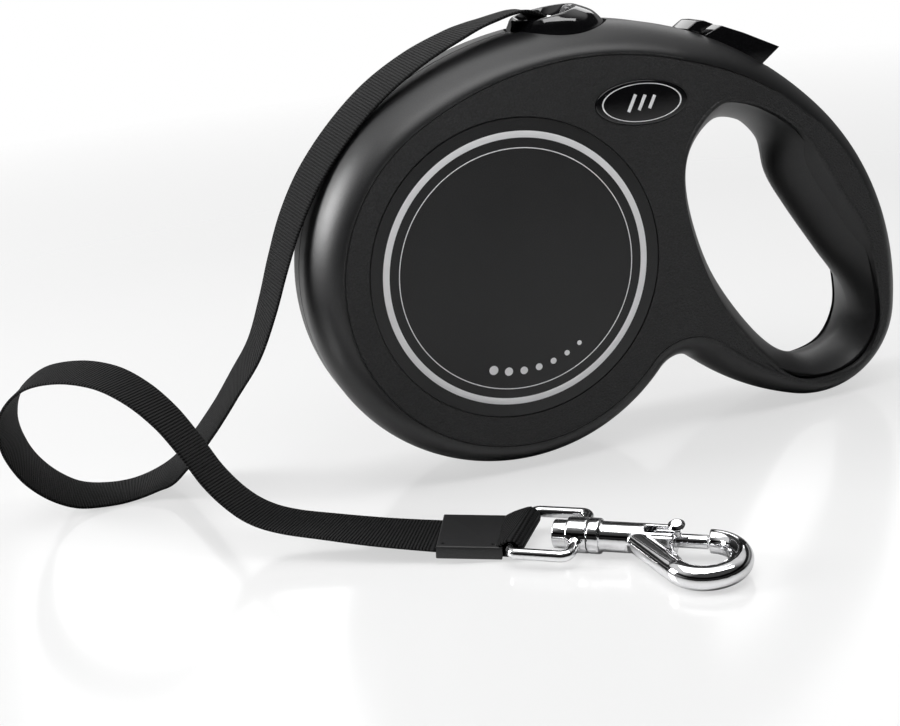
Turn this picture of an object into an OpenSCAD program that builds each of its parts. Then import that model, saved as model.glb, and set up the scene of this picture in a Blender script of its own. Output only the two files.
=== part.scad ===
// Retractable tape leash: a disc-shaped reel housing with a D handle, standing on its rim.
// X runs from the disc towards the handle, -Y is the front face, Z is up; the floor is z = 0.

/* [Housing] */
// Radius of the disc-shaped part of the housing
disc_r = 66.8; // [60:0.1:80]
// How far the long top arc's radius exceeds the disc's
top_extra = 51.2; // [46:0.1:56]
// Radius of the lobe at the foot of the handle
lobe_r = 31; // [28:0.1:34]
// Moulded wall of the two shells
wall = 2.4; // [2:0.1:2.9]
// Half depth of the handle's grip
grip_half = 16; // [15:0.1:18]
// How far the disc's shoulder pulls in from rim to face
shoulder_w = 9.5; // [7:0.1:11]
// How far the grip's shoulder pulls in from rim to face
grip_shoulder_w = 7; // [6:0.1:8]

/* [Tape and reel] */
// Width of the webbing tape
tape_w = 21; // [17.5:0.1:25.2]
// Thickness of the webbing tape
tape_t = 1; // [0.8:0.05:1.2]
// Side play between the tape and each flange
tape_play = 0.8; // [0.5:0.1:1.2]
// Radius of the drum that the tape winds on
drum_r = 18; // [15:0.1:22]
// Thickness of the reel's two flanges
flange_t = 1.6; // [1.2:0.1:2]
// Radius of the steel axle
axle_r = 4; // [3.3:0.1:4.8]
// Depth of the ratchet crown on the front flange
crown_w = 5.4; // [4.5:0.1:6]
// Number of notches in the ratchet crown
notch_count = 24; // [24:12:36]

/* [Brake] */
// Width of the brake button
button_w = 16; // [13:0.1:19]
// How far the brake button presses in
button_travel = 5.5; // [4.6:0.1:6]
// Radius of the brake lever's steel pin
pin_r = 1.5; // [1.25:0.05:1.8]
// Travel of the lock slider
lock_travel = 3; // [2.5:0.1:3.6]

/* [Nozzle and badge] */
// Radius of the round nozzle that the tape leaves through
nozzle_r = 16.2; // [14:0.1:18]
// Half length of the oval badge
badge_a = 15.6; // [13:0.1:18]
// Half height of the oval badge
badge_b = 6.9; // [5.8:0.1:8]

/* [Hook] */
// Radius of the hook's barrel
barrel_r = 4.4; // [3.8:0.1:4.6]
// Radius of the sliding bolt
bolt_r = 2; // [1.7:0.05:2.4]
// Travel of the sliding bolt
bolt_travel = 8; // [6.7:0.1:9]
// Centre-line radius of the hook's ring
ring_r = 9.6; // [8.4:0.1:11.4]
// Thickness radius of the hook's ring
ring_t = 3.4; // [2.8:0.1:3.8]
// Radius of the wire of the swivel eye
eye_wire = 1.7; // [1.4:0.1:2]

/* [Hidden] */
$fn = 72;

shell_colour = "#1b1b1c";
gloss_colour = "#0c0c0d";
steel_colour = "#b9bcc0";
chrome_colour = "#d4d7da";
tape_colour = "#161617";
nylon_colour = "#3a3b3d";

// Clearances
seat_gap = 0.3;
run_gap = 0.05;
slip = 0.1;

// ---- Outline of the housing: arcs that touch, each [x, z, radius] ----
function touching(c, r, ang) =
    [c[0] + (c[2] - r) * cos(ang), c[1] + (c[2] - r) * sin(ang), r];
function arc(c, r, a0, a1, n, side) =
    [for (i = [0 : n - 1]) let (a = a0 + (a1 - a0) * i / n)
        [c[0] + r * cos(a), c[1] + r * sin(a), side * cos(a), side * sin(a)]];
function heading(from, to) = atan2(to[1] - from[1], to[0] - from[0]);

top_angle = 121;
brow_angle = 72;
grip_angle = 45;
low_angle = -107;
neck_r = 9;
low_r = 110;
brow_more = 12;
grip_less = 35;

rim0 = [0, disc_r, disc_r];
top0 = touching(rim0, disc_r + top_extra, top_angle);
brow0 = touching(top0, top0[2] + brow_more, brow_angle);
grip0 = touching(brow0, brow0[2] - grip_less, grip_angle);
// The lobe is turned down until it stands on the floor
lobe_angle = asin((lobe_r - grip0[1]) / (grip0[2] - lobe_r));
// The whole outline is then centred on x = 0
shift_x = -(grip0[0] + grip0[2] - disc_r) / 2;
rim = [rim0[0] + shift_x, rim0[1], rim0[2]];
top = [top0[0] + shift_x, top0[1], top0[2]];
brow = [brow0[0] + shift_x, brow0[1], brow0[2]];
grip = [grip0[0] + shift_x, grip0[1], grip0[2]];
lobe = touching(grip, lobe_r, lobe_angle);
low = touching(lobe, low_r, low_angle);
// The neck is a hollow arc that touches the disc and the lower arc from outside
span = norm([low[0] - rim[0], low[1] - rim[1]]);
to_rim = disc_r + neck_r;
to_low = low_r + neck_r;
along = (span * span + to_rim * to_rim - to_low * to_low) / (2 * span);
aside = sqrt(to_rim * to_rim - along * along);
dir_x = (low[0] - rim[0]) / span;
dir_z = (low[1] - rim[1]) / span;
neck = [rim[0] + dir_x * along + dir_z * aside, rim[1] + dir_z * along - dir_x * aside];

outline = concat(
    arc(rim, disc_r, top_angle, heading(rim, neck) + 360, 34, 1),
    arc(neck, neck_r, heading(neck, rim), heading(neck, low), 6, -1),
    arc(low, low_r, heading(low, neck), low_angle, 5, 1),
    arc(lobe, lobe_r, low_angle, lobe_angle, 12, 1),
    arc(grip, grip[2], lobe_angle, grip_angle, 9, 1),
    arc(brow, brow[2], grip_angle, brow_angle, 6, 1),
    arc(top, top[2], brow_angle, top_angle, 9, 1));

// ---- Depth of the housing: full over the disc, thinner over the handle ----
cavity_clear = 0.6;
reel_side = tape_w / 2 + tape_play;
flange_out = reel_side + flange_t;
crown_out = flange_out + crown_w;
half_depth = crown_out + cavity_clear + wall + 1.2;
taper_from = rim[0] + 59;
taper_to = rim[0] + 111;
function smooth(t) = t <= 0 ? 0 : t >= 1 ? 1 : t * t * (3 - 2 * t);
function handle_share(x) = smooth((x - taper_from) / (taper_to - taper_from));
function depth_at(x) = half_depth + (grip_half - half_depth) * handle_share(x);
function shoulder_at(x) = shoulder_w + (grip_shoulder_w - shoulder_w) * handle_share(x);
// Rings of the shoulder: share of the depth, share of the pull-in; the last is past the face
shoulder = [[0, 0], [0.36, 0], [0.6, 0.14], [0.82, 0.48], [1.04, 1.116]];

function shell_ring(y_share, in_share) = [for (p = outline)
    let (w = shoulder_at(p[0]) * in_share)
        [p[0] - p[2] * w, -depth_at(p[0]) * y_share, p[1] - p[3] * w]];
function lid_ring(in_share, y) = [for (p = outline)
    let (w = shoulder_at(p[0]) * in_share) [p[0] - p[2] * w, y, p[1] - p[3] * w]];

// ---- Handle hole: x, z in the middle and x, z at the face, from the disc's right edge ----
hole_at = [rim[0] + disc_r, disc_r];
hole_points = [
    [-2.5, 11.5, -10.5, 11.5], [4, -13.5, -2.5, -16.5], [17.5, -36.5, 12.5, -40],
    [31.5, -51.5, 28.5, -56], [44.5, -55.5, 42.5, -60], [57.5, -51.5, 58.5, -56.5],
    [64, -41.5, 66.5, -44.5], [61.5, -29.5, 66.5, -28.5], [51.5, -14.5, 62, -8.5],
    [40.5, 2.5, 54, 5.5], [34, 14.5, 46, 19.5], [32, 26.5, 36, 32.5],
    [23.5, 35.5, 19, 43], [10.5, 37.5, 4, 44.5], [-0.5, 27.5, -8.5, 31.5]];
hole_power = 1.7;
function spline(a, b, c, d, t) =
    0.5 * (2 * b + (c - a) * t + (2 * a - 5 * b + 4 * c - d) * t * t
        + (3 * b - a - 3 * c + d) * t * t * t);
function closed_spline(p, n) = let (m = len(p))
    [for (i = [0 : m - 1]) for (k = [0 : n - 1])
        spline(p[(i + m - 1) % m], p[i], p[(i + 1) % m], p[(i + 2) % m], k / n)];
hole_curve = closed_spline(hole_points, 3);
function hole_x(p, share) = hole_at[0] + p[0] + (p[2] - p[0]) * share;
function hole_z(p, share) = hole_at[1] + p[1] + (p[3] - p[1]) * share;
function hole_ring(y_share) = let (q = pow(y_share, hole_power))
    [for (p = hole_curve) let (x = hole_x(p, q)) [x, -depth_at(x) * y_share, hole_z(p, q)]];
function hole_level(share, y) = [for (p = hole_curve) [hole_x(p, share), y, hole_z(p, share)]];

// ---- Reel and its compartment ----
axis_x = rim[0] - 1;
axis_z = rim[1] + 1.4;
room_less = 8.6;
room_r = disc_r - room_less;
crown_r = room_r - 2.2;
flange_r = crown_r - 1.5;
roll_r = flange_r - 2.5;
room_depth = half_depth - wall;
room_corner = 4.2;
rim_room_r = disc_r - wall - 1.2;
rim_room_depth = 12;
hub_r = axle_r + 3;
face_step = 0.5;
groove_r = 47.9;
groove_w = 0.8;

// ---- Nozzle ----
nozzle_x = top[0];
nozzle_seat = top[1] + top[2] - 9.6;
nozzle_neck_r = nozzle_r - 1.8;

// ---- Brake: button frame on the top arc, n outwards and t towards the handle ----
button_angle = 58.8;
button_x = top[0] + top[2] * cos(button_angle);
button_z = top[1] + top[2] * sin(button_angle);
lever_pivot = [axis_x + 48.5, axis_z + 54.8];
lever_turn = 11.2;
lever_hub_r = 4.2;
tip_r = 1.8;
tip_angle = 33;
tip_gap = 0.8;
tip = [axis_x + (crown_r + tip_gap + tip_r) * cos(tip_angle),
    axis_z + (crown_r + tip_gap + tip_r) * sin(tip_angle)];
lever_side = [-crown_out + 0.3, -flange_out - 0.6];
// Where the tip lands when the lever turns clockwise, seen from the axle
tip_from = [tip[0] - lever_pivot[0], tip[1] - lever_pivot[1]];
landing = [lever_pivot[0] + tip_from[0] * cos(lever_turn) + tip_from[1] * sin(lever_turn),
    lever_pivot[1] - tip_from[0] * sin(lever_turn) + tip_from[1] * cos(lever_turn)];
notch_angle = heading([axis_x, axis_z], landing);
stem_t = -6;
stem_len = 15;
stem_half = 2.6;
spring_t = 1.2;
plate_n = -wall - 4.4;
room_n = -13;
spring_seat_n = -15.5;
spring_hole_r = 3.6;
arm_y = 3;
arm_half = 1.8;
pad = [button_x + stem_t * sin(button_angle) - (stem_len + arm_half + seat_gap) * cos(button_angle),
    button_z - stem_t * cos(button_angle) - (stem_len + arm_half + seat_gap) * sin(button_angle)];
arm_angle = heading(lever_pivot, pad);
arm_len = norm([pad[0] - lever_pivot[0], pad[1] - lever_pivot[1]]);
function polar(c, r, a) = [c[0] + r * cos(a), c[1] + r * sin(a)];
lock_shaft_t = -17;
lock_shaft = 2;
lock_foot = 1.4;
lock_foot_n = plate_n - 0.9;

// ---- Screws that hold the shells together: x, z and length of boss ----
function on_rim(a) = [rim[0] + (disc_r - 5.6) * cos(a), rim[1] + (disc_r - 5.6) * sin(a), 12.5];
screw_at = [on_rim(140), on_rim(200), on_rim(262), [neck[0] + 13, neck[1] + 14, 13],
    [lobe[0], 5.8, 10.5], [grip[0] + grip[2] - 6.8, lobe_r + 14.5, 10.5],
    [hole_at[0] + 39, hole_at[1] + 36, 10.5]];
screw_r = 1.4;
screw_head_r = 2.7;
screw_head_sink = 2.4;
boss_r = 3.1;

// ---- Basic builders ----
module slab(y0, y1)
    translate([0, y1, 0]) rotate([90, 0, 0]) linear_extrude(y1 - y0) children();
module rod(x, z, r, y0, y1)
    translate([x, y1, z]) rotate([90, 0, 0]) cylinder(r = r, h = y1 - y0);
// Solid through rings of equal length, each counter-clockwise seen from the last one
module loft(rings) {
    n = len(rings[0]);
    m = len(rings);
    polyhedron(
        points = [for (r = rings) for (p = r) p],
        faces = concat(
            [[for (j = [0 : n - 1]) j]],
            [for (i = [0 : m - 2]) for (j = [0 : n - 1])
                [i * n + j, (i + 1) * n + j, (i + 1) * n + (j + 1) % n]],
            [for (i = [0 : m - 2]) for (j = [0 : n - 1])
                [i * n + j, (i + 1) * n + (j + 1) % n, i * n + (j + 1) % n]],
            [[for (j = [n - 1 : -1 : 0]) (m - 1) * n + j]]));
}

// ---- Shells ----
face_stations = 10;
module face_profile() {
    step = (taper_to - taper_from) / face_stations;
    edge = [for (i = [0 : face_stations]) taper_from + i * step];
    far = 400;
    linear_extrude(far)
        polygon(concat([[-far, 1], [-far, -half_depth]],
            [for (x = edge) [x, -depth_at(x)]],
            [[far, -grip_half], [far, 1]]));
}
module half_body() {
    lid_y = -half_depth - 3;
    difference() {
        intersection() {
            loft(concat([for (s = shoulder) shell_ring(s[0], s[1])],
                [lid_ring(1.25, lid_y)]));
            face_profile();
        }
        loft([hole_level(0, 1), hole_level(0, -0.01), hole_ring(0.3), hole_ring(0.55),
            hole_ring(0.78), hole_ring(1), hole_level(1.5, lid_y)]);
    }
}
module reel_room() {
    translate([axis_x, 0, axis_z]) rotate([90, 0, 0]) rotate_extrude()
        polygon([[0, -1], [room_r, -1], [room_r, room_depth - room_corner - 1.4],
            [room_r - 0.8, room_depth - 1.4], [room_r - room_corner, room_depth],
            [0, room_depth]]);
    // Wider room behind the rim, away from the handle
    translate([rim[0], 0, rim[1]]) rotate([90, 0, 0]) rotate([0, 0, 84])
        rotate_extrude(angle = 214)
            polygon([[room_r - 6, -1], [rim_room_r, -1], [rim_room_r, rim_room_depth - 3],
                [rim_room_r - 1.2, rim_room_depth], [room_r - 6, rim_room_depth]]);
}
module inset_outline(d) polygon([for (p = outline) [p[0] - p[2] * d, p[1] - p[3] * d]]);
module hole_shape(share) polygon([for (p = hole_curve) [hole_x(p, share), hole_z(p, share)]]);
module brake_room() {
    // Deep part, where the lever's pawl reaches the ratchet crown
    slab(-room_depth, 1) intersection() {
        inset_outline(10.4);
        translate([nozzle_x + 14.6, axis_z + 28]) square([11.6, 40]);
    }
    // Part below the button and the slider
    intersection() {
        slab(-13, 1) inset_outline(wall + 1);
        in_button_frame() {
            translate([-16.8, -button_w / 2 - 2.3, room_n])
                cube([30.9, button_w / 2 + 3, 20]);
            translate([-24.6, -5, lock_foot_n - 0.9]) cube([10, 6, 14]);
        }
    }
    // Slot of the button's stem and the hole of its spring
    in_button_frame() {
        translate([stem_t - stem_half - 0.4, -3.4, -stem_len - button_travel - 0.5])
            cube([2 * stem_half + 0.8, 5, 12]);
        translate([spring_t, 0, spring_seat_n]) cylinder(r = spring_hole_r, h = 5);
    }
    // Fan in which the lever's outer arm swings
    slab(-arm_y - 0.6, 1) polygon([polar(lever_pivot, 4.9, arm_angle + 100),
        polar(lever_pivot, arm_len + 3.4, arm_angle + 5),
        polar(lever_pivot, arm_len + 3, arm_angle - lever_turn - 5),
        polar(lever_pivot, 4.9, arm_angle - lever_turn - 100)]);
}
module handle_room() {
    slab(-9, 1) difference() {
        intersection() {
            inset_outline(4.2);
            polygon([[hole_at[0] - 13, -1], [hole_at[0] + 120, -1],
                [hole_at[0] + 120, hole_at[1] + 44], [hole_at[0] + 36, hole_at[1] + 44],
                [hole_at[0] + 36, hole_at[1] + 20], [hole_at[0] + 4, hole_at[1] - 28]]);
        }
        hole_shape(1.05);
    }
}
module in_button_frame() translate([button_x, 0, button_z]) rotate([0, 90 - button_angle, 0])
    children();
button_slot = [-14.6, 11.7];
module button_cut() in_button_frame() {
    translate([button_slot[0], -button_w / 2 - seat_gap, -6])
        cube([button_slot[1] - button_slot[0], button_w / 2 + seat_gap + 1, 12]);
    // Slot under the lock slider
    translate([lock_shaft_t - 2.4 - lock_travel - seat_gap, -lock_shaft - slip, -7])
        cube([2.4 + lock_travel + 2 * seat_gap, lock_shaft + 1, 12]);
}
tape_slot = reel_side + 0.5;
module tape_passage() {
    slab(-tape_slot, 1)
        polygon([[nozzle_x - 11, axis_z + 48], [axis_x + 40, axis_z + 26],
            [axis_x + 54, axis_z + 32], [nozzle_x + 6, nozzle_seat + 1],
            [nozzle_x - 7, nozzle_seat + 1]]);
}
badge_tilt = -3.5;
badge_x = axis_x + 45.7;
badge_z = axis_z + 46.6;
badge_sink = 1.2;
function ellipse(a, b, n) = [for (i = [0 : n - 1]) [a * cos(i * 360 / n), b * sin(i * 360 / n)]];
module badge_shape(grow) translate([badge_x, badge_z]) rotate(badge_tilt)
    polygon(ellipse(badge_a + grow, badge_b + grow, 48));
module half_shell() {
    difference() {
        union() {
            difference() {
                half_body();
                reel_room();
                brake_room();
                handle_room();
                tape_passage();
            }
            // Boss of the axle
            rod(axis_x, axis_z, axle_r + 2.4, -half_depth + 1, -crown_out - 0.4);
            // Boss of the lever's pin
            rod(lever_pivot[0], lever_pivot[1], 3.4, -half_depth + 1, -crown_out + 0.2);
            for (q = screw_at) rod(q[0], q[1], boss_r, -q[2], 0);
        }
        rod(axis_x, axis_z, axle_r + run_gap, -room_depth, 1);
        rod(lever_pivot[0], lever_pivot[1], pin_r + run_gap, -room_depth, 1);
        translate([nozzle_x, 0, nozzle_seat]) cylinder(r = nozzle_r + seat_gap, h = 20);
        button_cut();
    }
}

module front_shell() color(shell_colour) difference() {
    half_shell();
    // Step around the smooth centre of the face
    translate([axis_x, -half_depth + face_step, axis_z]) rotate([90, 0, 0])
        rotate_extrude() translate([groove_r, 0]) square([groove_w, 2]);
    slab(-half_depth - 1, -half_depth + badge_sink) badge_shape(0.15);
    for (q = screw_at) rod(q[0], q[1], screw_r + run_gap, -7.5, 1);
}

module rear_shell() color(shell_colour) difference() {
    union() {
        mirror([0, 1, 0]) half_shell();
        // Spacer that keeps the lever in place on its pin
        difference() {
            rod(lever_pivot[0], lever_pivot[1], lever_hub_r, 4.2, half_depth - 1);
            rod(lever_pivot[0], lever_pivot[1], pin_r + run_gap, 0, room_depth);
        }
    }
    for (q = screw_at) {
        rod(q[0], q[1], screw_r + run_gap, -1, 30);
        rod(q[0], q[1], screw_head_r + 0.3, q[2] - screw_head_sink, 30);
    }
}

module badge_plate() color(gloss_colour)
    slab(-half_depth - 0.4, -half_depth + badge_sink) badge_shape(0);

module housing_screws() color(steel_colour)
    for (q = screw_at) {
        rod(q[0], q[1], screw_r, -7, q[2] - screw_head_sink);
        rod(q[0], q[1], screw_head_r, q[2] - screw_head_sink, q[2] - screw_head_sink + 1.8);
    }

// ---- Nozzle ----
nozzle_n = 40;
function oval(cx, rx, ry, z, tilt) = [for (i = [0 : nozzle_n - 1])
    let (a = i * 360 / nozzle_n)
        [cx + rx * cos(a), ry * sin(a), z + tilt * rx * cos(a)]];
slot_x = nozzle_x - 2.6;
mouth_x = nozzle_x - 3.7;
mouth_z = nozzle_seat + 12.9;
mouth_tilt = 0.15;
module nozzle_outer() loft([
    oval(nozzle_x, nozzle_neck_r, nozzle_neck_r, nozzle_seat + 0.3, 0),
    oval(nozzle_x, nozzle_r, nozzle_r, nozzle_seat + 2, 0),
    oval(nozzle_x, nozzle_r, nozzle_r, nozzle_seat + 6.6, 0),
    oval(nozzle_x - 0.4, nozzle_r - 0.7, nozzle_r - 0.4, nozzle_seat + 8.6, 0.03),
    oval(nozzle_x - 1.6, nozzle_r - 2.8, nozzle_r - 1.3, nozzle_seat + 10.9, 0.09),
    oval(mouth_x + 0.2, nozzle_r - 5.2, nozzle_r - 2.6, mouth_z - 0.3, mouth_tilt),
    oval(mouth_x, nozzle_r - 6.2, nozzle_r - 3.2, mouth_z, mouth_tilt)]);
module nozzle_funnel() loft([
    oval(slot_x + 0.8, 2.6, tape_slot - 0.2, nozzle_seat - 1, 0),
    oval(slot_x, 3.4, tape_slot - 0.1, nozzle_seat + 5, 0),
    oval(slot_x - 0.6, 5.6, tape_slot + 0.1, nozzle_seat + 9, 0.06),
    oval(mouth_x, nozzle_r - 7.4, nozzle_r - 4.3, mouth_z - 0.6, mouth_tilt),
    oval(mouth_x, nozzle_r - 7, nozzle_r - 3.9, mouth_z + 2, mouth_tilt)]);
// Rounded tongue let into the funnel's wall, on the side the tape bends away from
module tongue(grow) {
    low_end = [slot_x + 3, 0, nozzle_seat + 5.4];
    high_end = [mouth_x + 8, 0, mouth_z - 0.4];
    capsule(low_end, high_end, 1.8 + grow);
}
module tape_nozzle() color(gloss_colour) difference() {
    nozzle_outer();
    nozzle_funnel();
    tongue(0.02);
    // The tape's straight way in from the reel
    inner_run_box(1.2, 0.3);
}
module nozzle_tongue() color(gloss_colour) tongue(0);

// ---- Tape between the reel and the nozzle ----
run_end = [slot_x - 1.8, nozzle_seat + 9];
run_len = norm([run_end[0] - axis_x, run_end[1] - axis_z]);
run_touch = heading([axis_x, axis_z], run_end) - acos((roll_r + 0.9) / run_len);
run_start = [axis_x + (roll_r + 0.9) * cos(run_touch), axis_z + (roll_r + 0.9) * sin(run_touch)];
run_dir = heading(run_start, run_end);
module inner_run_box(grow_t, grow_y) {
    length = norm([run_end[0] - run_start[0], run_end[1] - run_start[1]]);
    translate([run_start[0], 0, run_start[1]]) rotate([0, -run_dir, 0])
        translate([0, -tape_w / 2 - grow_y, -tape_t / 2 - grow_t])
            cube([length, tape_w + 2 * grow_y, tape_t + 2 * grow_t]);
}
module tape_inner_run() color(tape_colour) inner_run_box(0, 0);

// ---- Brake parts ----
button_top = [[-14.3, -2.6], [-14.3, -0.4], [-10.6, 4.4], [-2, 5.7], [12, 7], [9.1, 0],
    [9.1, -2.6]];
module brake_button() color(gloss_colour) in_button_frame() {
    translate([0, button_w / 2, 0]) rotate([90, 0, 0]) linear_extrude(button_w)
        polygon(button_top);
    // Inner plate that keeps the button in the housing
    translate([-16.4, -button_w / 2 - 1.6, plate_n]) cube([29.8, button_w + 3.2, 2]);
    translate([-13.5, -button_w / 2 + 1, plate_n + 1.9]) cube([22, button_w - 2, 2.4]);
    translate([stem_t - stem_half, -3, -stem_len])
        cube([2 * stem_half, 6, stem_len + plate_n + 0.1]);
}
module lock_slider() color(gloss_colour) in_button_frame() {
    translate([0, 6, 0]) rotate([90, 0, 0]) linear_extrude(12)
        polygon([[-20.4, -1.4], [-18.4, 2.4], [-16, 3.6], [-12.4, 4], [-14.9, 0.4],
            [-14.9, -0.6]]);
    translate([lock_shaft_t - 2.4, -lock_shaft, lock_foot_n + lock_foot - 0.1])
        cube([2.4, 2 * lock_shaft, -lock_foot_n - lock_foot + 0.4]);
    translate([-21.2, -4.4, lock_foot_n]) cube([4.2, 8.8, lock_foot]);
}
module brake_lever() color(nylon_colour) difference() {
    union() {
        rod(lever_pivot[0], lever_pivot[1], lever_hub_r, lever_side[0], 4);
        bar(lever_pivot, pad, arm_half, -arm_y, arm_y);
        bar(lever_pivot, tip, tip_r, lever_side[0], lever_side[1]);
    }
    rod(lever_pivot[0], lever_pivot[1], pin_r + run_gap, -30, 30);
}
// Straight arm with round ends
module bar(a, b, r, y0, y1) {
    rod(a[0], a[1], r, y0, y1);
    rod(b[0], b[1], r, y0, y1);
    slab(y0, y1) translate([a[0], a[1]]) rotate(heading(a, b))
        translate([0, -r]) square([norm([b[0] - a[0], b[1] - a[1]]), 2 * r]);
}
module lever_pin() color(steel_colour)
    rod(lever_pivot[0], lever_pivot[1], pin_r, -room_depth + 0.1, room_depth - 0.1);

// Coil spring as a swept wire
function coil_ring(i, n, turns, r, wire, h, sides) =
    let (a = 360 * turns * i / n, z = h * i / n)
        [for (k = [0 : sides - 1]) let (b = 360 * k / sides)
            [(r + wire * cos(b)) * cos(a), (r + wire * cos(b)) * sin(a), z + wire * sin(b)]];
module coil(turns, r, wire, h) {
    n = turns * 14;
    sides = 6;
    loft([for (i = [0 : n]) coil_ring(i, n, turns, r, wire, h, sides)]);
}
module button_spring() color(steel_colour) in_button_frame()
    translate([spring_t, 0, spring_seat_n + 0.45])
        coil(4, 2.8, 0.35, plate_n - spring_seat_n - 0.9);

// ---- Reel ----
module spool_axle() color(steel_colour)
    rod(axis_x, axis_z, axle_r, -room_depth + 0.1, room_depth - 0.1);
module spool_drum() color(nylon_colour) difference() {
    union() {
        rod(axis_x, axis_z, drum_r, -reel_side, reel_side);
        rod(axis_x, axis_z, flange_r, reel_side, flange_out);
    }
    rod(axis_x, axis_z, axle_r + run_gap, -40, 40);
    // The drum is cored out from the front
    difference() {
        rod(axis_x, axis_z, drum_r - 2.4, -40, reel_side - 3);
        rod(axis_x, axis_z, hub_r, -41, reel_side);
        for (a = [0 : 120 : 240]) rod_at(a, 3, -41, reel_side);
    }
    for (a = [0 : 120 : 240]) rod_at(a, screw_r + run_gap, -40, 2);
}
flange_screw_r = 12;
module rod_at(a, r, y0, y1)
    rod(axis_x + flange_screw_r * cos(a), axis_z + flange_screw_r * sin(a), r, y0, y1);
notch_depth_r = 5.2;
module ratchet_flange() color(nylon_colour) difference() {
    union() {
        rod(axis_x, axis_z, flange_r, -flange_out, -reel_side);
        slab(-crown_out, -flange_out) translate([axis_x, axis_z]) difference() {
            circle(crown_r);
            circle(crown_r - 9);
            for (i = [0 : notch_count - 1])
                rotate(notch_angle + i * 360 / notch_count)
                    translate([crown_r + 1.6, 0]) circle(notch_depth_r, $fn = 32);
        }
    }
    rod(axis_x, axis_z, axle_r + run_gap, -40, 0);
    for (a = [0 : 120 : 240]) rod_at(a, screw_r + run_gap, -40, 0);
}
module flange_screws() color(steel_colour)
    for (a = [0 : 120 : 240]) {
        rod_at(a, screw_r, -flange_out, 1);
        rod_at(a, screw_head_r, -flange_out - 1.6, -flange_out);
    }
module spring_arbor() color(nylon_colour) difference() {
    rod(axis_x, axis_z, hub_r, flange_out, crown_out + 0.3);
    rod(axis_x, axis_z, axle_r + run_gap, -40, 40);
}
cup_r = flange_r - 5;
cup_t = 1.2;
module spring_cover() color(nylon_colour) {
    inner = flange_out + 0.5;
    difference() {
        rod(axis_x, axis_z, cup_r + cup_t, inner, room_depth);
        rod(axis_x, axis_z, cup_r, inner + cup_t, room_depth + 1);
        rod(axis_x, axis_z, hub_r + 2, 0, 40);
    }
}
// Flat spiral, wound tight against the cup with its inner end on the arbor
spiral_turns = 12;
spiral_steps = 20;
band = 0.4;
function spiral_r(t) = t < 1 ? hub_r + 0.5 + (cup_r - 14 - hub_r) * t
    : cup_r - 13.5 + (13.1 - band) * (t - 1) / (spiral_turns - 1);
module power_spring() color(steel_colour)
    slab(flange_out + 2.2, room_depth - 0.4) translate([axis_x, axis_z])
        polygon(concat(
            [for (i = [0 : spiral_turns * spiral_steps])
                let (t = i / spiral_steps) (spiral_r(t) + band) * [cos(360 * t), sin(360 * t)]],
            [for (i = [spiral_turns * spiral_steps : -1 : 0])
                let (t = i / spiral_steps) spiral_r(t) * [cos(360 * t), sin(360 * t)]]));
module wound_tape() color(tape_colour) difference() {
    rod(axis_x, axis_z, roll_r, -tape_w / 2, tape_w / 2);
    rod(axis_x, axis_z, drum_r + 0.02, -20, 20);
}

// ---- Free tape: x, y, z, then how far its width is turned from the front, and its rise ----
sleeve_at = [-66.7, -71.3, 2.5];
sleeve_turn = -22.8;
sleeve_dip = 4.5;
sleeve_len = 19.2;
sleeve_back = sleeve_len * cos(sleeve_dip);
tape_end = [sleeve_at[0] - sleeve_back * cos(sleeve_turn),
    sleeve_at[1] - sleeve_back * sin(sleeve_turn), sleeve_at[2] + sleeve_len * sin(sleeve_dip)];
route = [
    [run_end[0], 0, run_end[1], 0, 0], [-17.6, 0, 143.1, 0, 0], [-20, 0, 144.8, 0, 0],
    [-24, 0, 145.6, 0, 3], [-28.5, 0, 145.2, 0, 4], [-33.5, 0, 144.2, 0, 3], [-39, 0, 143, 0, 1],
    [-46, 0, 140.8, 1, -2], [-58.8, 0, 135.6, 4, -4], [-72.7, 0, 127.5, 6, -5],
    [-85.5, 0, 116.7, 6.5, -5], [-96.7, 0, 104, 6.5, -5], [-104.6, 0, 91.3, 6, -4],
    [-110.4, 0, 78.5, 4.5, -3.5], [-115.6, 0, 65.5, 3, -2.5], [-121.5, 2, 52, 0.5, -1.5],
    [-129, 6.5, 40, -1, 0], [-137, 13.5, 27, -3, 0], [-145, 22.5, 15, -4, 0],
    [-152.5, 30, 6.2, -5, 0], [-163, 33.5, 1.5, -7, 0],
    [-173.5, 34, 1.1, -10, 0], [-184, 33, 4, -13, 0], [-192.5, 31, 11, -14, 0],
    [-198.5, 27.5, 21, -15, 0], [-201, 22.5, 33, -16, 0], [-198.5, 16.5, 44.5, -18, 0],
    [-190.5, 10, 52.5, -20, 0], [-180, 3, 55, -21, 0], [-169.5, -4.5, 53.5, -22, 0],
    [-161, -11, 48.5, -23, 1], [-154, -16.5, 41, -23, 2], [-148.5, -21, 32, -23, 3],
    [-143.5, -25.5, 22.5, -23, 4], [-138, -30, 15.5, -23, 5], [-132, -34.5, 11, -23, 5],
    [-124.5, -39.5, 8.5, -23, 5], [-113, -47, 7, -23, 4], [-99, -56, 5.5, -23, 2],
    [tape_end[0], tape_end[1], tape_end[2], sleeve_turn, 0]];
function unit(v) = v / norm(v);
function pos(i) = [route[i][0], route[i][1], route[i][2]];
function mid(i) = (pos(i) + pos(i + 1)) / 2
    + (pos(i) + pos(i + 1) - pos(max(i - 1, 0)) - pos(min(i + 2, len(route) - 1))) / 16;
last = len(route) - 1;
path = concat([for (i = [0 : last - 1]) each [pos(i), mid(i)]], [pos(last)]);
function turn(k, at) = (route[floor(k / 2)][at] + route[ceil(k / 2)][at]) / 2;
end_dir = [cos(sleeve_dip) * cos(sleeve_turn), cos(sleeve_dip) * sin(sleeve_turn),
    -sin(sleeve_dip)];
start_dir = [cos(run_dir), 0, sin(run_dir)];
function way(i) = i == 0 ? start_dir : i == len(path) - 1 ? end_dir
    : unit(path[i + 1] - path[i - 1]);
function flat(v, d) = unit(v - (v * d) * d);
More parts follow.
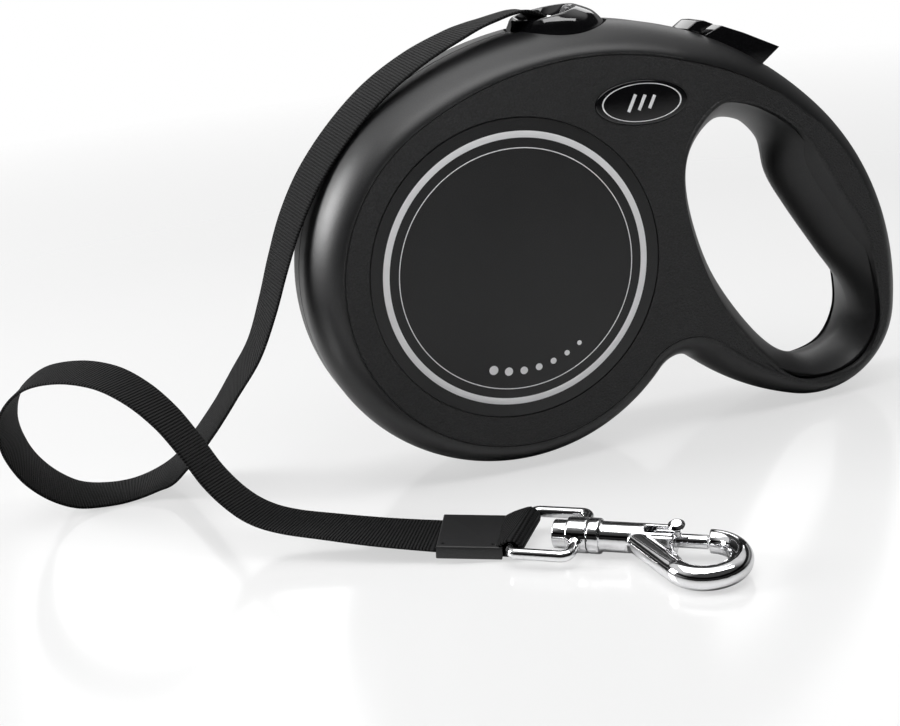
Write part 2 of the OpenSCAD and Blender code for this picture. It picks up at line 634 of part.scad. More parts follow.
function tape_ring(i) =
    let (d = way(i), w = flat([sin(turn(i, 3)), -cos(turn(i, 3)), sin(turn(i, 4))], d),
        u = cross(w, d),
        a = tape_w / 2, b = tape_t / 2, c = tape_t / 4)
        [for (q = [[a, c], [a - c, b], [c - a, b], [-a, c], [-a, -c], [c - a, -b],
            [a - c, -b], [a, -c]]) path[i] + w * q[0] + u * q[1]];
module tape() color(tape_colour) loft([for (i = [len(path) - 1 : -1 : 0]) tape_ring(i)]);

// ---- The eye and the hook lie along one line, turned a little from the sleeve ----
hook_from = [-84.2, -60];
hook_turn = -37.5;
module on_hook_line(l, z, tilt) translate([hook_from[0], hook_from[1], 0])
    rotate([0, 0, hook_turn]) translate([l, 0, z]) rotate([tilt, 0, 0]) children();
sleeve_t = 4;
sleeve_w = tape_w + 2;
module tape_sleeve() color(gloss_colour) translate(tape_end)
    rotate([0, sleeve_dip, sleeve_turn]) rotate([90, 0, 90]) linear_extrude(sleeve_len)
        sleeve_shape(sleeve_w, sleeve_t);
module sleeve_shape(w, t) {
    r = t / 2 - 0.1;
    square([w - 2 * r, t], center = true);
    for (s = [-1, 1]) translate([s * (w / 2 - r), 0]) circle(r);
}
axis_h = 5.4;
bar_l = 26.8;
eye_tilt = 5;
eye_w = tape_w + 0.2 + 4 * eye_wire;
eye_len = 17.4;
loop_r = eye_wire + 0.3;
web_w = tape_w - 1.6;
function web_ring(at, turn, dip, tilt, t) = [for (q = [[1, -1], [1, 1], [-1, 1], [-1, -1]])
    let (a = q[0] * web_w / 2, b = q[1] * t / 2,
        y = a * cos(tilt) - b * sin(tilt), z = a * sin(tilt) + b * cos(tilt))
        at + [z * sin(dip) * cos(turn) - y * sin(turn), z * sin(dip) * sin(turn) + y * cos(turn),
            z * cos(dip)]];
// Where the webbing meets its own loop round the eye's bar
web_l = bar_l - loop_r - 0.3;
web_end = [hook_from[0] + web_l * cos(hook_turn), hook_from[1] + web_l * sin(hook_turn), axis_h];
module end_loop() color(tape_colour) difference() {
    union() {
        on_hook_line(bar_l, axis_h, eye_tilt) rotate([90, 0, 0])
            translate([0, 0, -web_w / 2]) cylinder(r = loop_r + tape_t, h = web_w);
        loft([web_ring(sleeve_at, sleeve_turn, sleeve_dip, 0, 2.6),
            web_ring((sleeve_at + web_end) / 2, (sleeve_turn + hook_turn) / 2, sleeve_dip / 2,
                eye_tilt / 2, 3),
            web_ring(web_end, hook_turn, 0, eye_tilt, 3.4)]);
    }
    on_hook_line(bar_l, axis_h, eye_tilt) rotate([90, 0, 0])
        translate([0, 0, -30]) cylinder(r = loop_r, h = 60);
}
boss_half = 5.2;
boss_len = 6;
post_r = 2.3;
module wire_run(a, b, r) {
    d = b - a;
    translate(a) rotate([0, acos(d[2] / norm(d)), atan2(d[1], d[0])])
        cylinder(r = r, h = norm(d));
}
// Round bar with domed ends, turned as one shape
module capsule(a, b, r) {
    d = b - a;
    translate(a) rotate([0, acos(d[2] / norm(d)), atan2(d[1], d[0])]) rotate_extrude()
        polygon(concat([for (k = [-90 : 15 : 0]) [r * cos(k), r * sin(k)]],
            [for (k = [0 : 15 : 90]) [r * cos(k), norm(d) + r * sin(k)]]));
}
module swivel_eye() color(chrome_colour) on_hook_line(bar_l, axis_h, eye_tilt) {
    h = eye_w / 2 - eye_wire;
    bend = 2.4;
    difference() {
        union() {
            wire_run([0, -h + bend, 0], [0, h - bend, 0], eye_wire);
            for (s = [-1, 1]) {
                translate([bend, s * (h - bend), 0]) rotate([0, 0, s > 0 ? 90 : 180])
                    rotate_extrude(angle = 90) translate([bend, 0]) circle(eye_wire, $fn = 32);
                wire_run([bend, s * h, 0], [eye_len - bend, s * h, 0], eye_wire);
                translate([eye_len - bend, s * (h - bend), 0])
                    rotate([0, 0, s > 0 ? 0 : -90])
                        rotate_extrude(angle = 90) translate([bend, 0]) circle(eye_wire, $fn = 32);
                wire_run([eye_len, s * (h - bend), 0], [eye_len, 0, 0], eye_wire);
            }
            translate([eye_len - boss_len / 2, 0, 0]) rotate([0, 90, 0])
                cylinder(r = boss_half, h = boss_len);
        }
        rotate([0, 90, 0]) cylinder(r = post_r + run_gap, h = 60);
    }
}
// The hook turns on the rivet, on the swivel's line
hook_l = bar_l + eye_len + boss_len / 2 + 0.2;
collar_len = 3.4;
barrel_end = 25;
ring_l = 35;
ring_w = 9;
limb_l = 12;
// The ring's far side leans down to the floor
ring_sink = asin((axis_h - ring_t - 0.15) / (ring_w + ring_r));
// The limb leaves the barrel straight and touches the ring's centre line
limb_span = norm([ring_l - limb_l, ring_w]);
limb_way = atan2(ring_w, ring_l - limb_l) + asin(ring_r / limb_span);
limb_len = sqrt(limb_span * limb_span - ring_r * ring_r);
nose_way = 93;
web_t = 5.2;
module on_hook(tilt) on_hook_line(hook_l, axis_h, tilt) children();
module hook_body() color(chrome_colour) difference() {
    union() {
        on_hook(0) rotate([0, 90, 0]) cylinder(r = barrel_r + 0.8, h = collar_len);
        on_hook(0) rotate([0, 90, 0]) cylinder(r = barrel_r, h = barrel_end);
        on_hook(ring_sink) {
            // Ring from the limb round to the nose
            translate([ring_l, -ring_w, 0]) rotate([0, 0, -90 - limb_way])
                rotate_extrude(angle = 90 + limb_way + nose_way)
                    translate([ring_r, 0]) circle(ring_t, $fn = 32);
            rotate([0, 0, -limb_way]) translate([limb_l * cos(limb_way), limb_l * sin(limb_way), 0])
                rotate([0, 90, 0]) cylinder(r = ring_t - 0.05, h = limb_len + 0.3);
            // Web that fills the corner between the barrel and the limb
            translate([0, 0, -web_t / 2]) linear_extrude(web_t)
                polygon([[limb_l + 2, -2], [barrel_end, -2], [barrel_end + 0.4, -6],
                    [barrel_end + 2, -10], [ring_l - 5.4, -ring_w - 4.4],
                    [ring_l - 6.7, -ring_w - 6.9], [limb_l + 12, -ring_w - 2.7]]);
        }
    }
    // Bore of the bolt and its spring, with the knob's slot
    on_hook(0) translate([spring_from, 0, 0]) rotate([0, 90, 0])
        cylinder(r = bolt_r + run_gap, h = barrel_end - spring_from + 1);
    on_hook(knob_turn) translate([knob_l - bolt_travel - 1.3, -1.3, 0])
        cube([bolt_travel + 5, 2.6, 10]);
    // Seat of the rivet's shank
    on_hook(0) translate([-1, 0, 0]) rotate([0, 90, 0])
        cylinder(r = shank_r + run_gap, h = shank_len + 1.2);
}
shank_r = 1.7;
shank_len = 4.8;
rivet_head_r = 4.2;
rivet_head = 4;
module swivel_rivet() color(chrome_colour) on_hook(0) rotate([0, 90, 0]) {
    translate([0, 0, -boss_len - 0.4 - rivet_head]) cylinder(r = rivet_head_r, h = rivet_head);
    translate([0, 0, -boss_len - 0.5]) cylinder(r = post_r, h = boss_len + 0.4);
    translate([0, 0, -0.2]) cylinder(r = shank_r, h = shank_len + 0.2);
}
spring_from = 7.2;
knob_l = 25.8;
knob_turn = 20;
bolt_back = 19;
bolt_front = ring_l - 0.9;
module hook_bolt() color(chrome_colour) on_hook(0) translate([bolt_back, 0, 0])
    rotate([0, 90, 0]) cylinder(r = bolt_r, h = bolt_front - bolt_back);
module bolt_knob() color(chrome_colour) on_hook(knob_turn) translate([knob_l, 0, 0]) {
    translate([0, 0, bolt_r]) cylinder(r = 1, h = 3.2);
    translate([0, 0, bolt_r + 2.9]) cylinder(r1 = 1.8, r2 = 2.5, h = 1.2);
    translate([0, 0, bolt_r + 4.1]) cylinder(r1 = 2.5, r2 = 1.5, h = 0.9);
}
module bolt_spring() color(steel_colour) on_hook(0) translate([spring_from + 0.35, 0, 0])
    rotate([0, 90, 0]) coil(6, bolt_r - 0.5, 0.25, bolt_back - spring_from - 0.7);

front_shell();
rear_shell();
badge_plate();
tape_nozzle();
nozzle_tongue();
brake_button();
lock_slider();
brake_lever();
lever_pin();
button_spring();
spool_drum();
ratchet_flange();
spool_axle();
spring_arbor();
spring_cover();
power_spring();
wound_tape();
tape_inner_run();
housing_screws();
flange_screws();
tape();
tape_sleeve();
end_loop();
swivel_eye();
hook_body();
swivel_rivet();
hook_bolt();
bolt_knob();
bolt_spring();
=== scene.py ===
import math
import bmesh
import bpy
from mathutils import Matrix, Vector


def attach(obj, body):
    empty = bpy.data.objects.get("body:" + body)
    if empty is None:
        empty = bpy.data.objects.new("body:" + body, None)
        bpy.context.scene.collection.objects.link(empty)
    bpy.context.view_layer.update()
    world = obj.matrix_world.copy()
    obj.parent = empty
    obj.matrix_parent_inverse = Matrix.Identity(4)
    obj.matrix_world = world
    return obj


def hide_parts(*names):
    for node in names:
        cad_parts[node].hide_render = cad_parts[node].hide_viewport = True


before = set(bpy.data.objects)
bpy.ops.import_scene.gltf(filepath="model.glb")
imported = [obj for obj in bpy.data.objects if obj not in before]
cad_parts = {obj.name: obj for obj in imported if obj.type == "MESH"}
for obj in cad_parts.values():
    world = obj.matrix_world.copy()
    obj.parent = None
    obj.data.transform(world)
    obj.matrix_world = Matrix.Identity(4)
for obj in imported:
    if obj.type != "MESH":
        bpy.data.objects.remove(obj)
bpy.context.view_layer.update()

# ---- Camera, floor and lamps ----
# The leash stands on a glossy white studio floor under wide soft lamps. It is seen from the
# front left and a little above.
MM = 0.001
for other in bpy.context.selected_objects:
    other.select_set(False)
bpy.ops.object.camera_add(location=(-0.1824, -0.4585, 0.1870))
camera = bpy.context.object
camera.rotation_euler = [math.radians(a) for a in (72.157, 6.033, -17.099)]
camera.data.lens = 60
camera.data.sensor_width = 36
camera.data.clip_start = 0.01
bpy.context.scene.camera = camera
bpy.context.scene.view_settings.view_transform = "Standard"


def graph(owner, kind, **inputs):
    """Adds a shader node; an input's value is a number, a colour or another node's output."""
    node = owner.node_tree.nodes.new("ShaderNode" + kind)
    for key, value in inputs.items():
        if hasattr(node, key) and key not in ("color", "scale"):
            setattr(node, key, value)
            continue
        number = key[1:] if key[0] == "i" and key[1:].isdigit() else None
        socket = node.inputs[int(number)] if number else node.inputs[key.replace("_", " ")]
        if isinstance(value, bpy.types.NodeSocket):
            owner.node_tree.links.new(value, socket)
        else:
            socket.default_value = value
    return node


def calc(owner, operation, a, b=0.0):
    """The output of a Math node."""
    return graph(owner, "Math", operation=operation, i0=a, i1=b).outputs[0]


def material(name, colour, roughness, metal=0.0):
    """A Principled material; returns it with its shader node."""
    made = bpy.data.materials.new(name)
    made.use_nodes = True
    shader = made.node_tree.nodes["Principled BSDF"]
    shader.inputs["Base Color"].default_value = (*colour, 1)
    shader.inputs["Roughness"].default_value = roughness
    shader.inputs["Metallic"].default_value = metal
    return made, shader


def link(owner, out, socket):
    owner.node_tree.links.new(out, socket)


floor_white, floor_shader = material("studio_floor", (0.65, 0.65, 0.655), 0.16)
floor_shader.inputs["Specular IOR Level"].default_value = 0.3
floor_place = graph(floor_white, "TexCoord").outputs["Object"]
floor_haze = graph(floor_white, "TexNoise", Vector=floor_place, Scale=3.0, Detail=2.0)
link(floor_white, graph(floor_white, "MapRange", Value=floor_haze.outputs["Fac"],
                        To_Min=0.13, To_Max=0.2).outputs[0], floor_shader.inputs["Roughness"])
floor_view = graph(floor_white, "LightPath").outputs["Is Camera Ray"]
floor_tone = graph(floor_white, "MapRange", Value=floor_view, To_Min=0.65, To_Max=0.22)
link(floor_white, floor_tone.outputs[0], floor_shader.inputs["Base Color"])
floor_shader.inputs["Emission Color"].default_value = (1, 1, 1, 1)
link(floor_white, calc(floor_white, "MULTIPLY", floor_view, 0.6),
     floor_shader.inputs["Emission Strength"])
floor_far = graph(floor_white, "VectorMath", operation="LENGTH", i0=floor_place).outputs["Value"]
floor_edge = graph(floor_white, "MapRange", Value=floor_far, From_Min=0.4,
                   From_Max=1.0).outputs[0]
clear = graph(floor_white, "BsdfTransparent").outputs[0]
floor_mix = graph(floor_white, "MixShader", i0=floor_edge, i1=floor_shader.outputs[0], i2=clear)
link(floor_white, floor_mix.outputs[0],
     floor_white.node_tree.nodes["Material Output"].inputs["Surface"])
bpy.ops.mesh.primitive_plane_add(size=2.4, location=(0, 0, 0))
floor = bpy.context.object
floor.name = "floor"
floor.data.materials.append(floor_white)

world = bpy.data.worlds.new("studio")
bpy.context.scene.world = world
world.use_nodes = True
backdrop = world.node_tree.nodes["Background"]
ray = graph(world, "LightPath")
seen = calc(world, "MAXIMUM", ray.outputs["Is Camera Ray"], ray.outputs["Is Transmission Ray"])
way = graph(world, "SeparateXYZ", Vector=graph(world, "TexCoord").outputs["Generated"])
height = graph(world, "MapRange", Value=way.outputs["Z"], From_Min=0.1, From_Max=0.7,
               To_Min=0.12, To_Max=0.6).outputs[0]
facing = graph(world, "MapRange", Value=way.outputs["Y"], From_Min=-0.35, From_Max=0.15,
               To_Min=0.1, To_Max=1.2).outputs[0]
belt = graph(world, "ValToRGB", Fac=way.outputs["Z"])
belt.color_ramp.elements[0].color = (1, 1, 1, 1)
for place, level in ((0.28, 1.0), (0.32, 0.04), (0.52, 0.04), (0.57, 1.0)):
    belt.color_ramp.elements.new(place).color = (level, level, level, 1)
glow = calc(world, "MULTIPLY", calc(world, "MULTIPLY", height, facing), belt.outputs[0])
link(world, calc(world, "MAXIMUM", seen, glow), backdrop.inputs["Strength"])
backdrop.inputs["Color"].default_value = (1, 1, 1, 1)


def lamp(name, place, target, size, power):
    """A soft rectangular lamp at place that looks at target."""
    bpy.ops.object.light_add(type="AREA", location=place)
    made = bpy.context.object
    made.name = name
    made.data.shape = "RECTANGLE"
    made.data.size, made.data.size_y = size
    made.data.energy = power
    made.rotation_euler = (Vector(target) - Vector(place)).to_track_quat("-Z", "Y").to_euler()


lamp("key_lamp", (-0.1, 0.1, 1.0), (0, 0, 0.05), (1.0, 0.7), 3.6)
lamp("left_lamp", (-0.9, 0.25, 0.42), (-0.05, 0, 0.08), (0.3, 0.4), 11)
lamp("back_lamp", (0.25, 0.9, 0.6), (0, 0, 0.08), (1.1, 0.35), 2.4)
lamp("front_lamp", (0.0, -0.17, 0.42), (0.02, 0, 0.1), (0.5, 0.12), 1.2)

# ---- Tape outside the housing ----
# Black woven polyester webbing, 21 mm wide and 1 mm thick. It leaves the nozzle, drops in a long
# arc to the floor, makes one loop over itself and runs into the sleeve of the hook.
sleeve_tip = Vector((-66.7, -71.3, 2.5))
sleeve_turn = math.radians(-22.8)
sleeve_dip = math.radians(4.5)
sleeve_len = 19.2
sleeve_way = Vector((math.cos(sleeve_dip) * math.cos(sleeve_turn),
                     math.cos(sleeve_dip) * math.sin(sleeve_turn), -math.sin(sleeve_dip)))
tape_end = sleeve_tip - sleeve_way * sleeve_len
route = [
    (-15.835, 0, 140.313, 0, 0), (-17.6, 0, 143.1, 0, 0), (-20, 0, 144.8, 0, 0),
    (-24, 0, 145.6, 0, 3), (-28.5, 0, 145.2, 0, 4), (-33.5, 0, 144.2, 0, 3), (-39, 0, 143, 0, 1),
    (-46, 0, 140.8, 1, -2), (-58.8, 0, 135.6, 4, -4), (-72.7, 0, 127.5, 6, -5),
    (-85.5, 0, 116.7, 6.5, -5), (-96.7, 0, 104, 6.5, -5), (-104.6, 0, 91.3, 6, -4),
    (-110.4, 0, 78.5, 4.5, -3.5), (-115.6, 0, 65.5, 3, -2.5), (-121.5, 2, 52, 0.5, -1.5),
    (-129, 6.5, 40, -1, 0), (-137, 13.5, 27, -3, 0), (-145, 22.5, 15, -4, 0),
    (-152.5, 30, 6.2, -5, 0), (-163, 33.5, 1.5, -7, 0),
    (-173.5, 34, 1.1, -10, 0), (-184, 33, 4, -13, 0), (-192.5, 31, 11, -14, 0),
    (-198.5, 27.5, 21, -15, 0), (-201, 22.5, 33, -16, 0), (-198.5, 16.5, 44.5, -18, 0),
    (-190.5, 10, 52.5, -20, 0), (-180, 3, 55, -21, 0), (-169.5, -4.5, 53.5, -22, 0),
    (-161, -11, 48.5, -23, 1), (-154, -16.5, 41, -23, 2), (-148.5, -21, 32, -23, 3),
    (-143.5, -25.5, 22.5, -23, 4), (-138, -30, 15.5, -23, 5), (-132, -34.5, 11, -23, 5),
    (-124.5, -39.5, 8.5, -23, 5), (-113, -47, 7, -23, 4), (-99, -56, 5.5, -23, 2)]
route.append((*tape_end, math.degrees(sleeve_turn), 0))
start_way = Vector((math.cos(math.radians(116.676)), 0, math.sin(math.radians(116.676))))


def between(a, b, c, d, t):
    """Catmull-Rom step from b to c."""
    return 0.5 * (2 * b + (c - a) * t + (2 * a - 5 * b + 4 * c - d) * t * t
                  + (3 * b - a - 3 * c + d) * t * t * t)


def smooth_run(points, steps):
    """Points of a smooth curve through a list of equal-length tuples."""
    last = len(points) - 1
    run = []
    for i in range(last):
        four = [points[max(i - 1, 0)], points[i], points[i + 1], points[min(i + 2, last)]]
        run += [tuple(between(*(p[k] for p in four), s / steps) for k in range(len(points[0])))
                for s in range(steps)]
    return run + [tuple(points[last])]


def loft(name, rings, closed=False, lids=True):
    """A mesh through rings of equal length, in millimetres. closed joins the last to the first."""
    count = len(rings[0])
    points = [tuple(c * MM for c in p) for ring in rings for p in ring]
    faces = []
    for i in range(len(rings) if closed else len(rings) - 1):
        a, b = i * count, (i + 1) % len(rings) * count
        faces += [(a + j, a + (j + 1) % count, b + (j + 1) % count, b + j) for j in range(count)]
    if lids and not closed:
        faces += [tuple(range(count))[::-1],
                  tuple((len(rings) - 1) * count + j for j in range(count))]
    mesh = bpy.data.meshes.new(name)
    mesh.from_pydata(points, [], faces)
    made = bpy.data.objects.new(name, mesh)
    bpy.context.collection.objects.link(made)
    return made


def only(piece):
    """Selects one piece and nothing else."""
    bpy.ops.object.select_all(action="DESELECT")
    piece.select_set(True)
    bpy.context.view_layer.objects.active = piece


def tidy_normals(piece, gap=0.0):
    """Merges doubles within gap millimetres and turns all faces outwards."""
    only(piece)
    bpy.ops.object.mode_set(mode="EDIT")
    bpy.ops.mesh.select_all(action="SELECT")
    if gap:
        bpy.ops.mesh.remove_doubles(threshold=gap * MM)
    bpy.ops.mesh.normals_make_consistent(inside=False)
    bpy.ops.object.mode_set(mode="OBJECT")


def smooth(piece, angle=35):
    only(piece)
    bpy.ops.object.shade_smooth_by_angle(angle=math.radians(angle))


# Outline of the webbing's section, across and through, with soft selvedges
band_section = [(10.5, 0.12), (10.3, 0.4), (9.8, 0.5), (5, 0.47), (0, 0.47), (-5, 0.47),
                (-9.8, 0.5), (-10.3, 0.4), (-10.5, 0.12), (-10.5, -0.12), (-10.3, -0.4),
                (-9.8, -0.5), (-5, -0.47), (0, -0.47), (5, -0.47), (9.8, -0.5), (10.3, -0.4),
                (10.5, -0.12)]


def webbing(name, stations, section):
    """A band along stations of (centre, across, through), with its own map in millimetres."""
    rings = [[c + a * q[0] + u * q[1] for q in section] for c, a, u in stations]
    made = loft(name, rings)
    along = [0.0]
    for one, two in zip(stations, stations[1:]):
        along.append(along[-1] + (two[0] - one[0]).length)
    around = [section[j][0] for j in range(len(section))]
    sheet = made.data.uv_layers.new(name="weave")
    count = len(section)
    for loop in made.data.loops:
        ring, at = divmod(loop.vertex_index, count)
        sheet.data[loop.index].uv = (along[ring] / 10, around[at] / 10)
    tidy_normals(made)
    smooth(made, 50)
    return made


def webbing_material():
    """Ribbed plain weave: weft ribs across the band, warp threads crossing them in turn. Its colour
    darkens into the gaps between the ribs: painted shade.
    """
    made, shader = material("woven_webbing", (0.012, 0.012, 0.0125), 0.7)
    spot = graph(made, "SeparateXYZ", Vector=graph(made, "UVMap", uv_map="weave").outputs[0])
    rib_turn = calc(made, "MULTIPLY", spot.outputs["X"], 2 * math.pi * 10 / 2.0)
    warp_turn = calc(made, "MULTIPLY", spot.outputs["Y"], 2 * math.pi * 10 / 1.1)
    rib = calc(made, "ABSOLUTE", calc(made, "SINE", rib_turn))
    other_rib = calc(made, "COSINE", rib_turn)
    warp = calc(made, "SINE", warp_turn)
    crossing = calc(made, "MULTIPLY", calc(made, "MULTIPLY", other_rib, warp), 0.15)
    wool = graph(made, "TexNoise", Vector=graph(made, "TexCoord").outputs["Object"],
                 Scale=1800.0, Detail=3.0)
    fuzz = calc(made, "MULTIPLY", wool.outputs["Fac"], 0.3)
    relief = calc(made, "ADD", calc(made, "ADD", calc(made, "POWER", rib, 1.2), crossing), fuzz)
    bump = graph(made, "Bump", Strength=1.0, Distance=0.0004, Height=relief)
    link(made, bump.outputs[0], shader.inputs["Normal"])
    # The colour follows the relief: near black deep between the ribs and dark grey on their tops. This
    # is painted shade in the gaps, with a random fleck from the fuzz.
    tone = graph(made, "ValToRGB", Fac=calc(made, "MULTIPLY", relief, 0.62))
    tone.color_ramp.elements[0].position = 0.22
    tone.color_ramp.elements[0].color = (0.0005, 0.0005, 0.0005, 1)
    tone.color_ramp.elements[1].position = 0.75
    tone.color_ramp.elements[1].color = (0.011, 0.011, 0.0115, 1)
    link(made, tone.outputs[0], shader.inputs["Base Color"])
    shader.inputs["Sheen Weight"].default_value = 0.015
    shader.inputs["Sheen Roughness"].default_value = 0.5
    shader.inputs["Specular IOR Level"].default_value = 0.1
    return made


web_material = webbing_material()
tape_run = smooth_run(route, 10)
tape_points = [Vector(p[:3]) for p in tape_run]
tape_stations = []
for i, p in enumerate(tape_run):
    if i == 0:
        ahead = start_way
    elif i == len(tape_run) - 1:
        ahead = sleeve_way
    else:
        ahead = (tape_points[i + 1] - tape_points[i - 1]).normalized()
    lean, rise = math.radians(p[3]), math.radians(p[4])
    across = Vector((math.sin(lean), -math.cos(lean), math.sin(rise)))
    across = (across - ahead * across.dot(ahead)).normalized()
    tape_stations.append((tape_points[i], across, across.cross(ahead)))
tape = webbing("free_tape", tape_stations, band_section)
tape.data.materials.append(web_material)
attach(tape, "housing")
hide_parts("tape")

# ---- Webbing loop round the eye's bar ----
# The tape's end is folded round the bar of the swivel eye and sewn back on itself inside the
# sleeve, so two layers come out of the sleeve and close round the bar.
hook_turn = math.radians(-37.5)
hook_way = Vector((math.cos(hook_turn), math.sin(hook_turn), 0))
hook_side = Vector((-math.sin(hook_turn), math.cos(hook_turn), 0))
eye_tilt = math.radians(5)
axis_h = 5.4
bar_l = 26.8
eye_side = hook_side * math.cos(eye_tilt) + Vector((0, 0, math.sin(eye_tilt)))
eye_up = hook_way.cross(eye_side)
bar_middle = Vector((-84.2, -60, axis_h)) + hook_way * bar_l
sleeve_side = Vector((-math.sin(sleeve_turn), math.cos(sleeve_turn), 0))
sleeve_up = sleeve_way.cross(sleeve_side)
fold_r = 2.55
web_scale = 19.4 / 21
fold_stations = []
for step in range(7):
    share = step / 6
    place = (sleeve_tip - sleeve_way * 2 + sleeve_up * 0.62).lerp(
        bar_middle + eye_up * fold_r - hook_way * 0.3, share)
    place += Vector((0, 0, 0.35)) * math.sin(math.pi * share)
    fold_stations.append((place, sleeve_side.lerp(eye_side, share).normalized()))
for step in range(1, 13):
    turn = math.pi * step / 13
    fold_stations.append((bar_middle + eye_up * (fold_r * math.cos(turn))
                          + hook_way * (fold_r * math.sin(turn)), eye_side.copy()))
for step in range(7):
    share = 1 - step / 6
    place = (sleeve_tip - sleeve_way * 2 - sleeve_up * 0.62).lerp(
        bar_middle - eye_up * fold_r - hook_way * 0.3, share)
    fold_stations.append((place, sleeve_side.lerp(eye_side, share).normalized()))
whole = []
for i, (place, across) in enumerate(fold_stations):
    before = fold_stations[max(i - 1, 0)][0]
    after = fold_stations[min(i + 1, len(fold_stations) - 1)][0]
    ahead = (after - before).normalized()
    across = (across - ahead * across.dot(ahead)).normalized()
    whole.append((place, across, across.cross(ahead)))
fold = webbing("webbing_fold", whole, [(q[0] * web_scale, q[1]) for q in band_section])
fold.data.materials.append(web_material)
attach(fold, "housing")
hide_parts("end_loop")

# ---- Housing shells ----
# Two moulded halves of matte black plastic, finely grained, that meet in the middle of the depth.
# A fine seam runs along the edge of the grained face, and a thin groove rings its satin centre.
rim, top, brow, grip = ((-37.805, 66.8, 66.8), (-11.435, 22.913, 118.0), (-15.14, 11.5, 130.0),
                        (9.605, 36.249, 95.0))
lobe = (73.39, 31.0, 31.0)
half_depth = 22.5
neck_r = 9.0


def touching(arc, radius, turn):
    return (arc[0] + (arc[2] - radius) * math.cos(math.radians(turn)),
            arc[1] + (arc[2] - radius) * math.sin(math.radians(turn)), radius)


def heading(start, end):
    return math.degrees(math.atan2(end[1] - start[1], end[0] - start[0]))


low = touching(lobe, 110.0, -107)
span = math.dist(low[:2], rim[:2])
to_rim, to_low = rim[2] + neck_r, low[2] + neck_r
along = (span ** 2 + to_rim ** 2 - to_low ** 2) / (2 * span)
aside = math.sqrt(to_rim ** 2 - along ** 2)
step_x, step_z = (low[0] - rim[0]) / span, (low[1] - rim[1]) / span
neck = (rim[0] + step_x * along + step_z * aside, rim[1] + step_z * along - step_x * aside,
        neck_r)


def arc_points(arc, start, end, count, side=1):
    """Points of an arc, each with the direction that points out of the housing."""
    turns = [math.radians(start + (end - start) * i / count) for i in range(count)]
    return [(arc[0] + arc[2] * math.cos(a), arc[1] + arc[2] * math.sin(a),
             side * math.cos(a), side * math.sin(a)) for a in turns]


outline = (arc_points(rim, 121, heading(rim, neck) + 360, 200)
           + arc_points(neck, heading(neck, rim), heading(neck, low), 36, -1)
           + arc_points(low, heading(low, neck), -107, 30)
           + arc_points(lobe, -107, -4.70, 84)
           + arc_points(grip, -4.70, 45, 54)
           + arc_points(brow, 45, 72, 36)
           + arc_points(top, 72, 121, 60))
taper_from, taper_to = rim[0] + 59, rim[0] + 111


def taper(x, wide, narrow):
    """A size that runs from wide over the disc to narrow over the handle."""
    share = min(max((x - taper_from) / (taper_to - taper_from), 0), 1)
    return wide + (narrow - wide) * share * share * (3 - 2 * share)


def depth_at(x):
    return taper(x, half_depth, 16.0)


def outer_ring(depth_share, pull, sink=0.0, extra=0.0):
    """A ring of the shoulder: share of the depth, share of the pull-in, millimetres below."""
    ring = []
    for x, z, nx, nz in outline:
        inset = taper(x, 9.5, 7.0) * pull + extra
        ring.append((x - nx * inset, depth_at(x) * depth_share - sink, z - nz * inset))
    return ring


hole_knots = [
    (-2.5, 11.5, -10.5, 11.5), (4, -13.5, -2.5, -16.5), (17.5, -36.5, 12.5, -40),
    (31.5, -51.5, 28.5, -56), (44.5, -55.5, 42.5, -60), (57.5, -51.5, 58.5, -56.5),
    (64, -41.5, 66.5, -44.5), (61.5, -29.5, 66.5, -28.5), (51.5, -14.5, 62, -8.5),
    (40.5, 2.5, 54, 5.5), (34, 14.5, 46, 19.5), (32, 26.5, 36, 32.5),
    (23.5, 35.5, 19, 43), (10.5, 37.5, 4, 44.5), (-0.5, 27.5, -8.5, 31.5)]
hole_at = (rim[0] + rim[2], rim[2])
hole_steps = 14
hole_curve = []
for i in range(len(hole_knots)):
    four = [hole_knots[(i + k) % len(hole_knots)] for k in (-1, 0, 1, 2)]
    hole_curve += [tuple(between(*(p[k] for p in four), s / hole_steps) for k in range(4))
                   for s in range(hole_steps)]


def hole_ring(depth_share, sink=0.0, out=0.0):
    """A ring of the hole's wall, let out by some millimetres away from the hole."""
    q = depth_share ** 1.7
    flat = [(hole_at[0] + p[0] + (p[2] - p[0]) * q, hole_at[1] + p[1] + (p[3] - p[1]) * q)
            for p in hole_curve]
    ring = []
    for i, (x, z) in enumerate(flat):
        before, after = flat[i - 1], flat[(i + 1) % len(flat)]
        run = math.dist(before, after)
        dx, dz = (after[0] - before[0]) / run, (after[1] - before[1]) / run
        ring.append((x - dz * out, depth_at(x) * depth_share - sink, z + dx * out))
    return ring


def cut_places(ring, planes):
    """Where a ring stands: its own points, and where it crosses the upright planes."""
    places = [float(i) for i in range(len(ring))]
    for i, start in enumerate(ring):
        end = ring[(i + 1) % len(ring)]
        for x in planes:
            if (start[0] - x) * (end[0] - x) < 0:
                places.append(i + (x - start[0]) / (end[0] - start[0]))
    return sorted(places)


def at_places(ring, places):
    found = []
    for place in places:
        i = int(place)
        a, b = Vector(ring[i]), Vector(ring[(i + 1) % len(ring)])
        found.append(a.lerp(b, place - i))
    return found


def face_sheet(loops, planes, inner):
    """The face inside its outer loop and round the others, cut along the upright planes."""
    made = bmesh.new()
    edges = []
    for loop in loops:
        corners = [made.verts.new((p[0], 0, p[2])) for p in loop]
        edges += [made.edges.new((corners[i - 1], corners[i])) for i in range(len(corners))]
    bmesh.ops.triangle_fill(made, use_beauty=True, use_dissolve=False, edges=edges)
    for x in planes:
        bmesh.ops.bisect_plane(made, geom=made.verts[:] + made.edges[:] + made.faces[:],
                               dist=1e-4, plane_co=(x, 0, 0), plane_no=(1, 0, 0))
    for vert in made.verts:
        vert.co.y = depth_at(vert.co.x) - inner
    for vert in made.verts:
        vert.co = vert.co * MM
    return made


# The seam runs over the top and round the disc as far as the handle, where it fades out
def seam_depth(x, z):
    far = x - (48 if z > 70 else 50)
    return 0.3 * min(max(1 - far / 12, 0), 1)


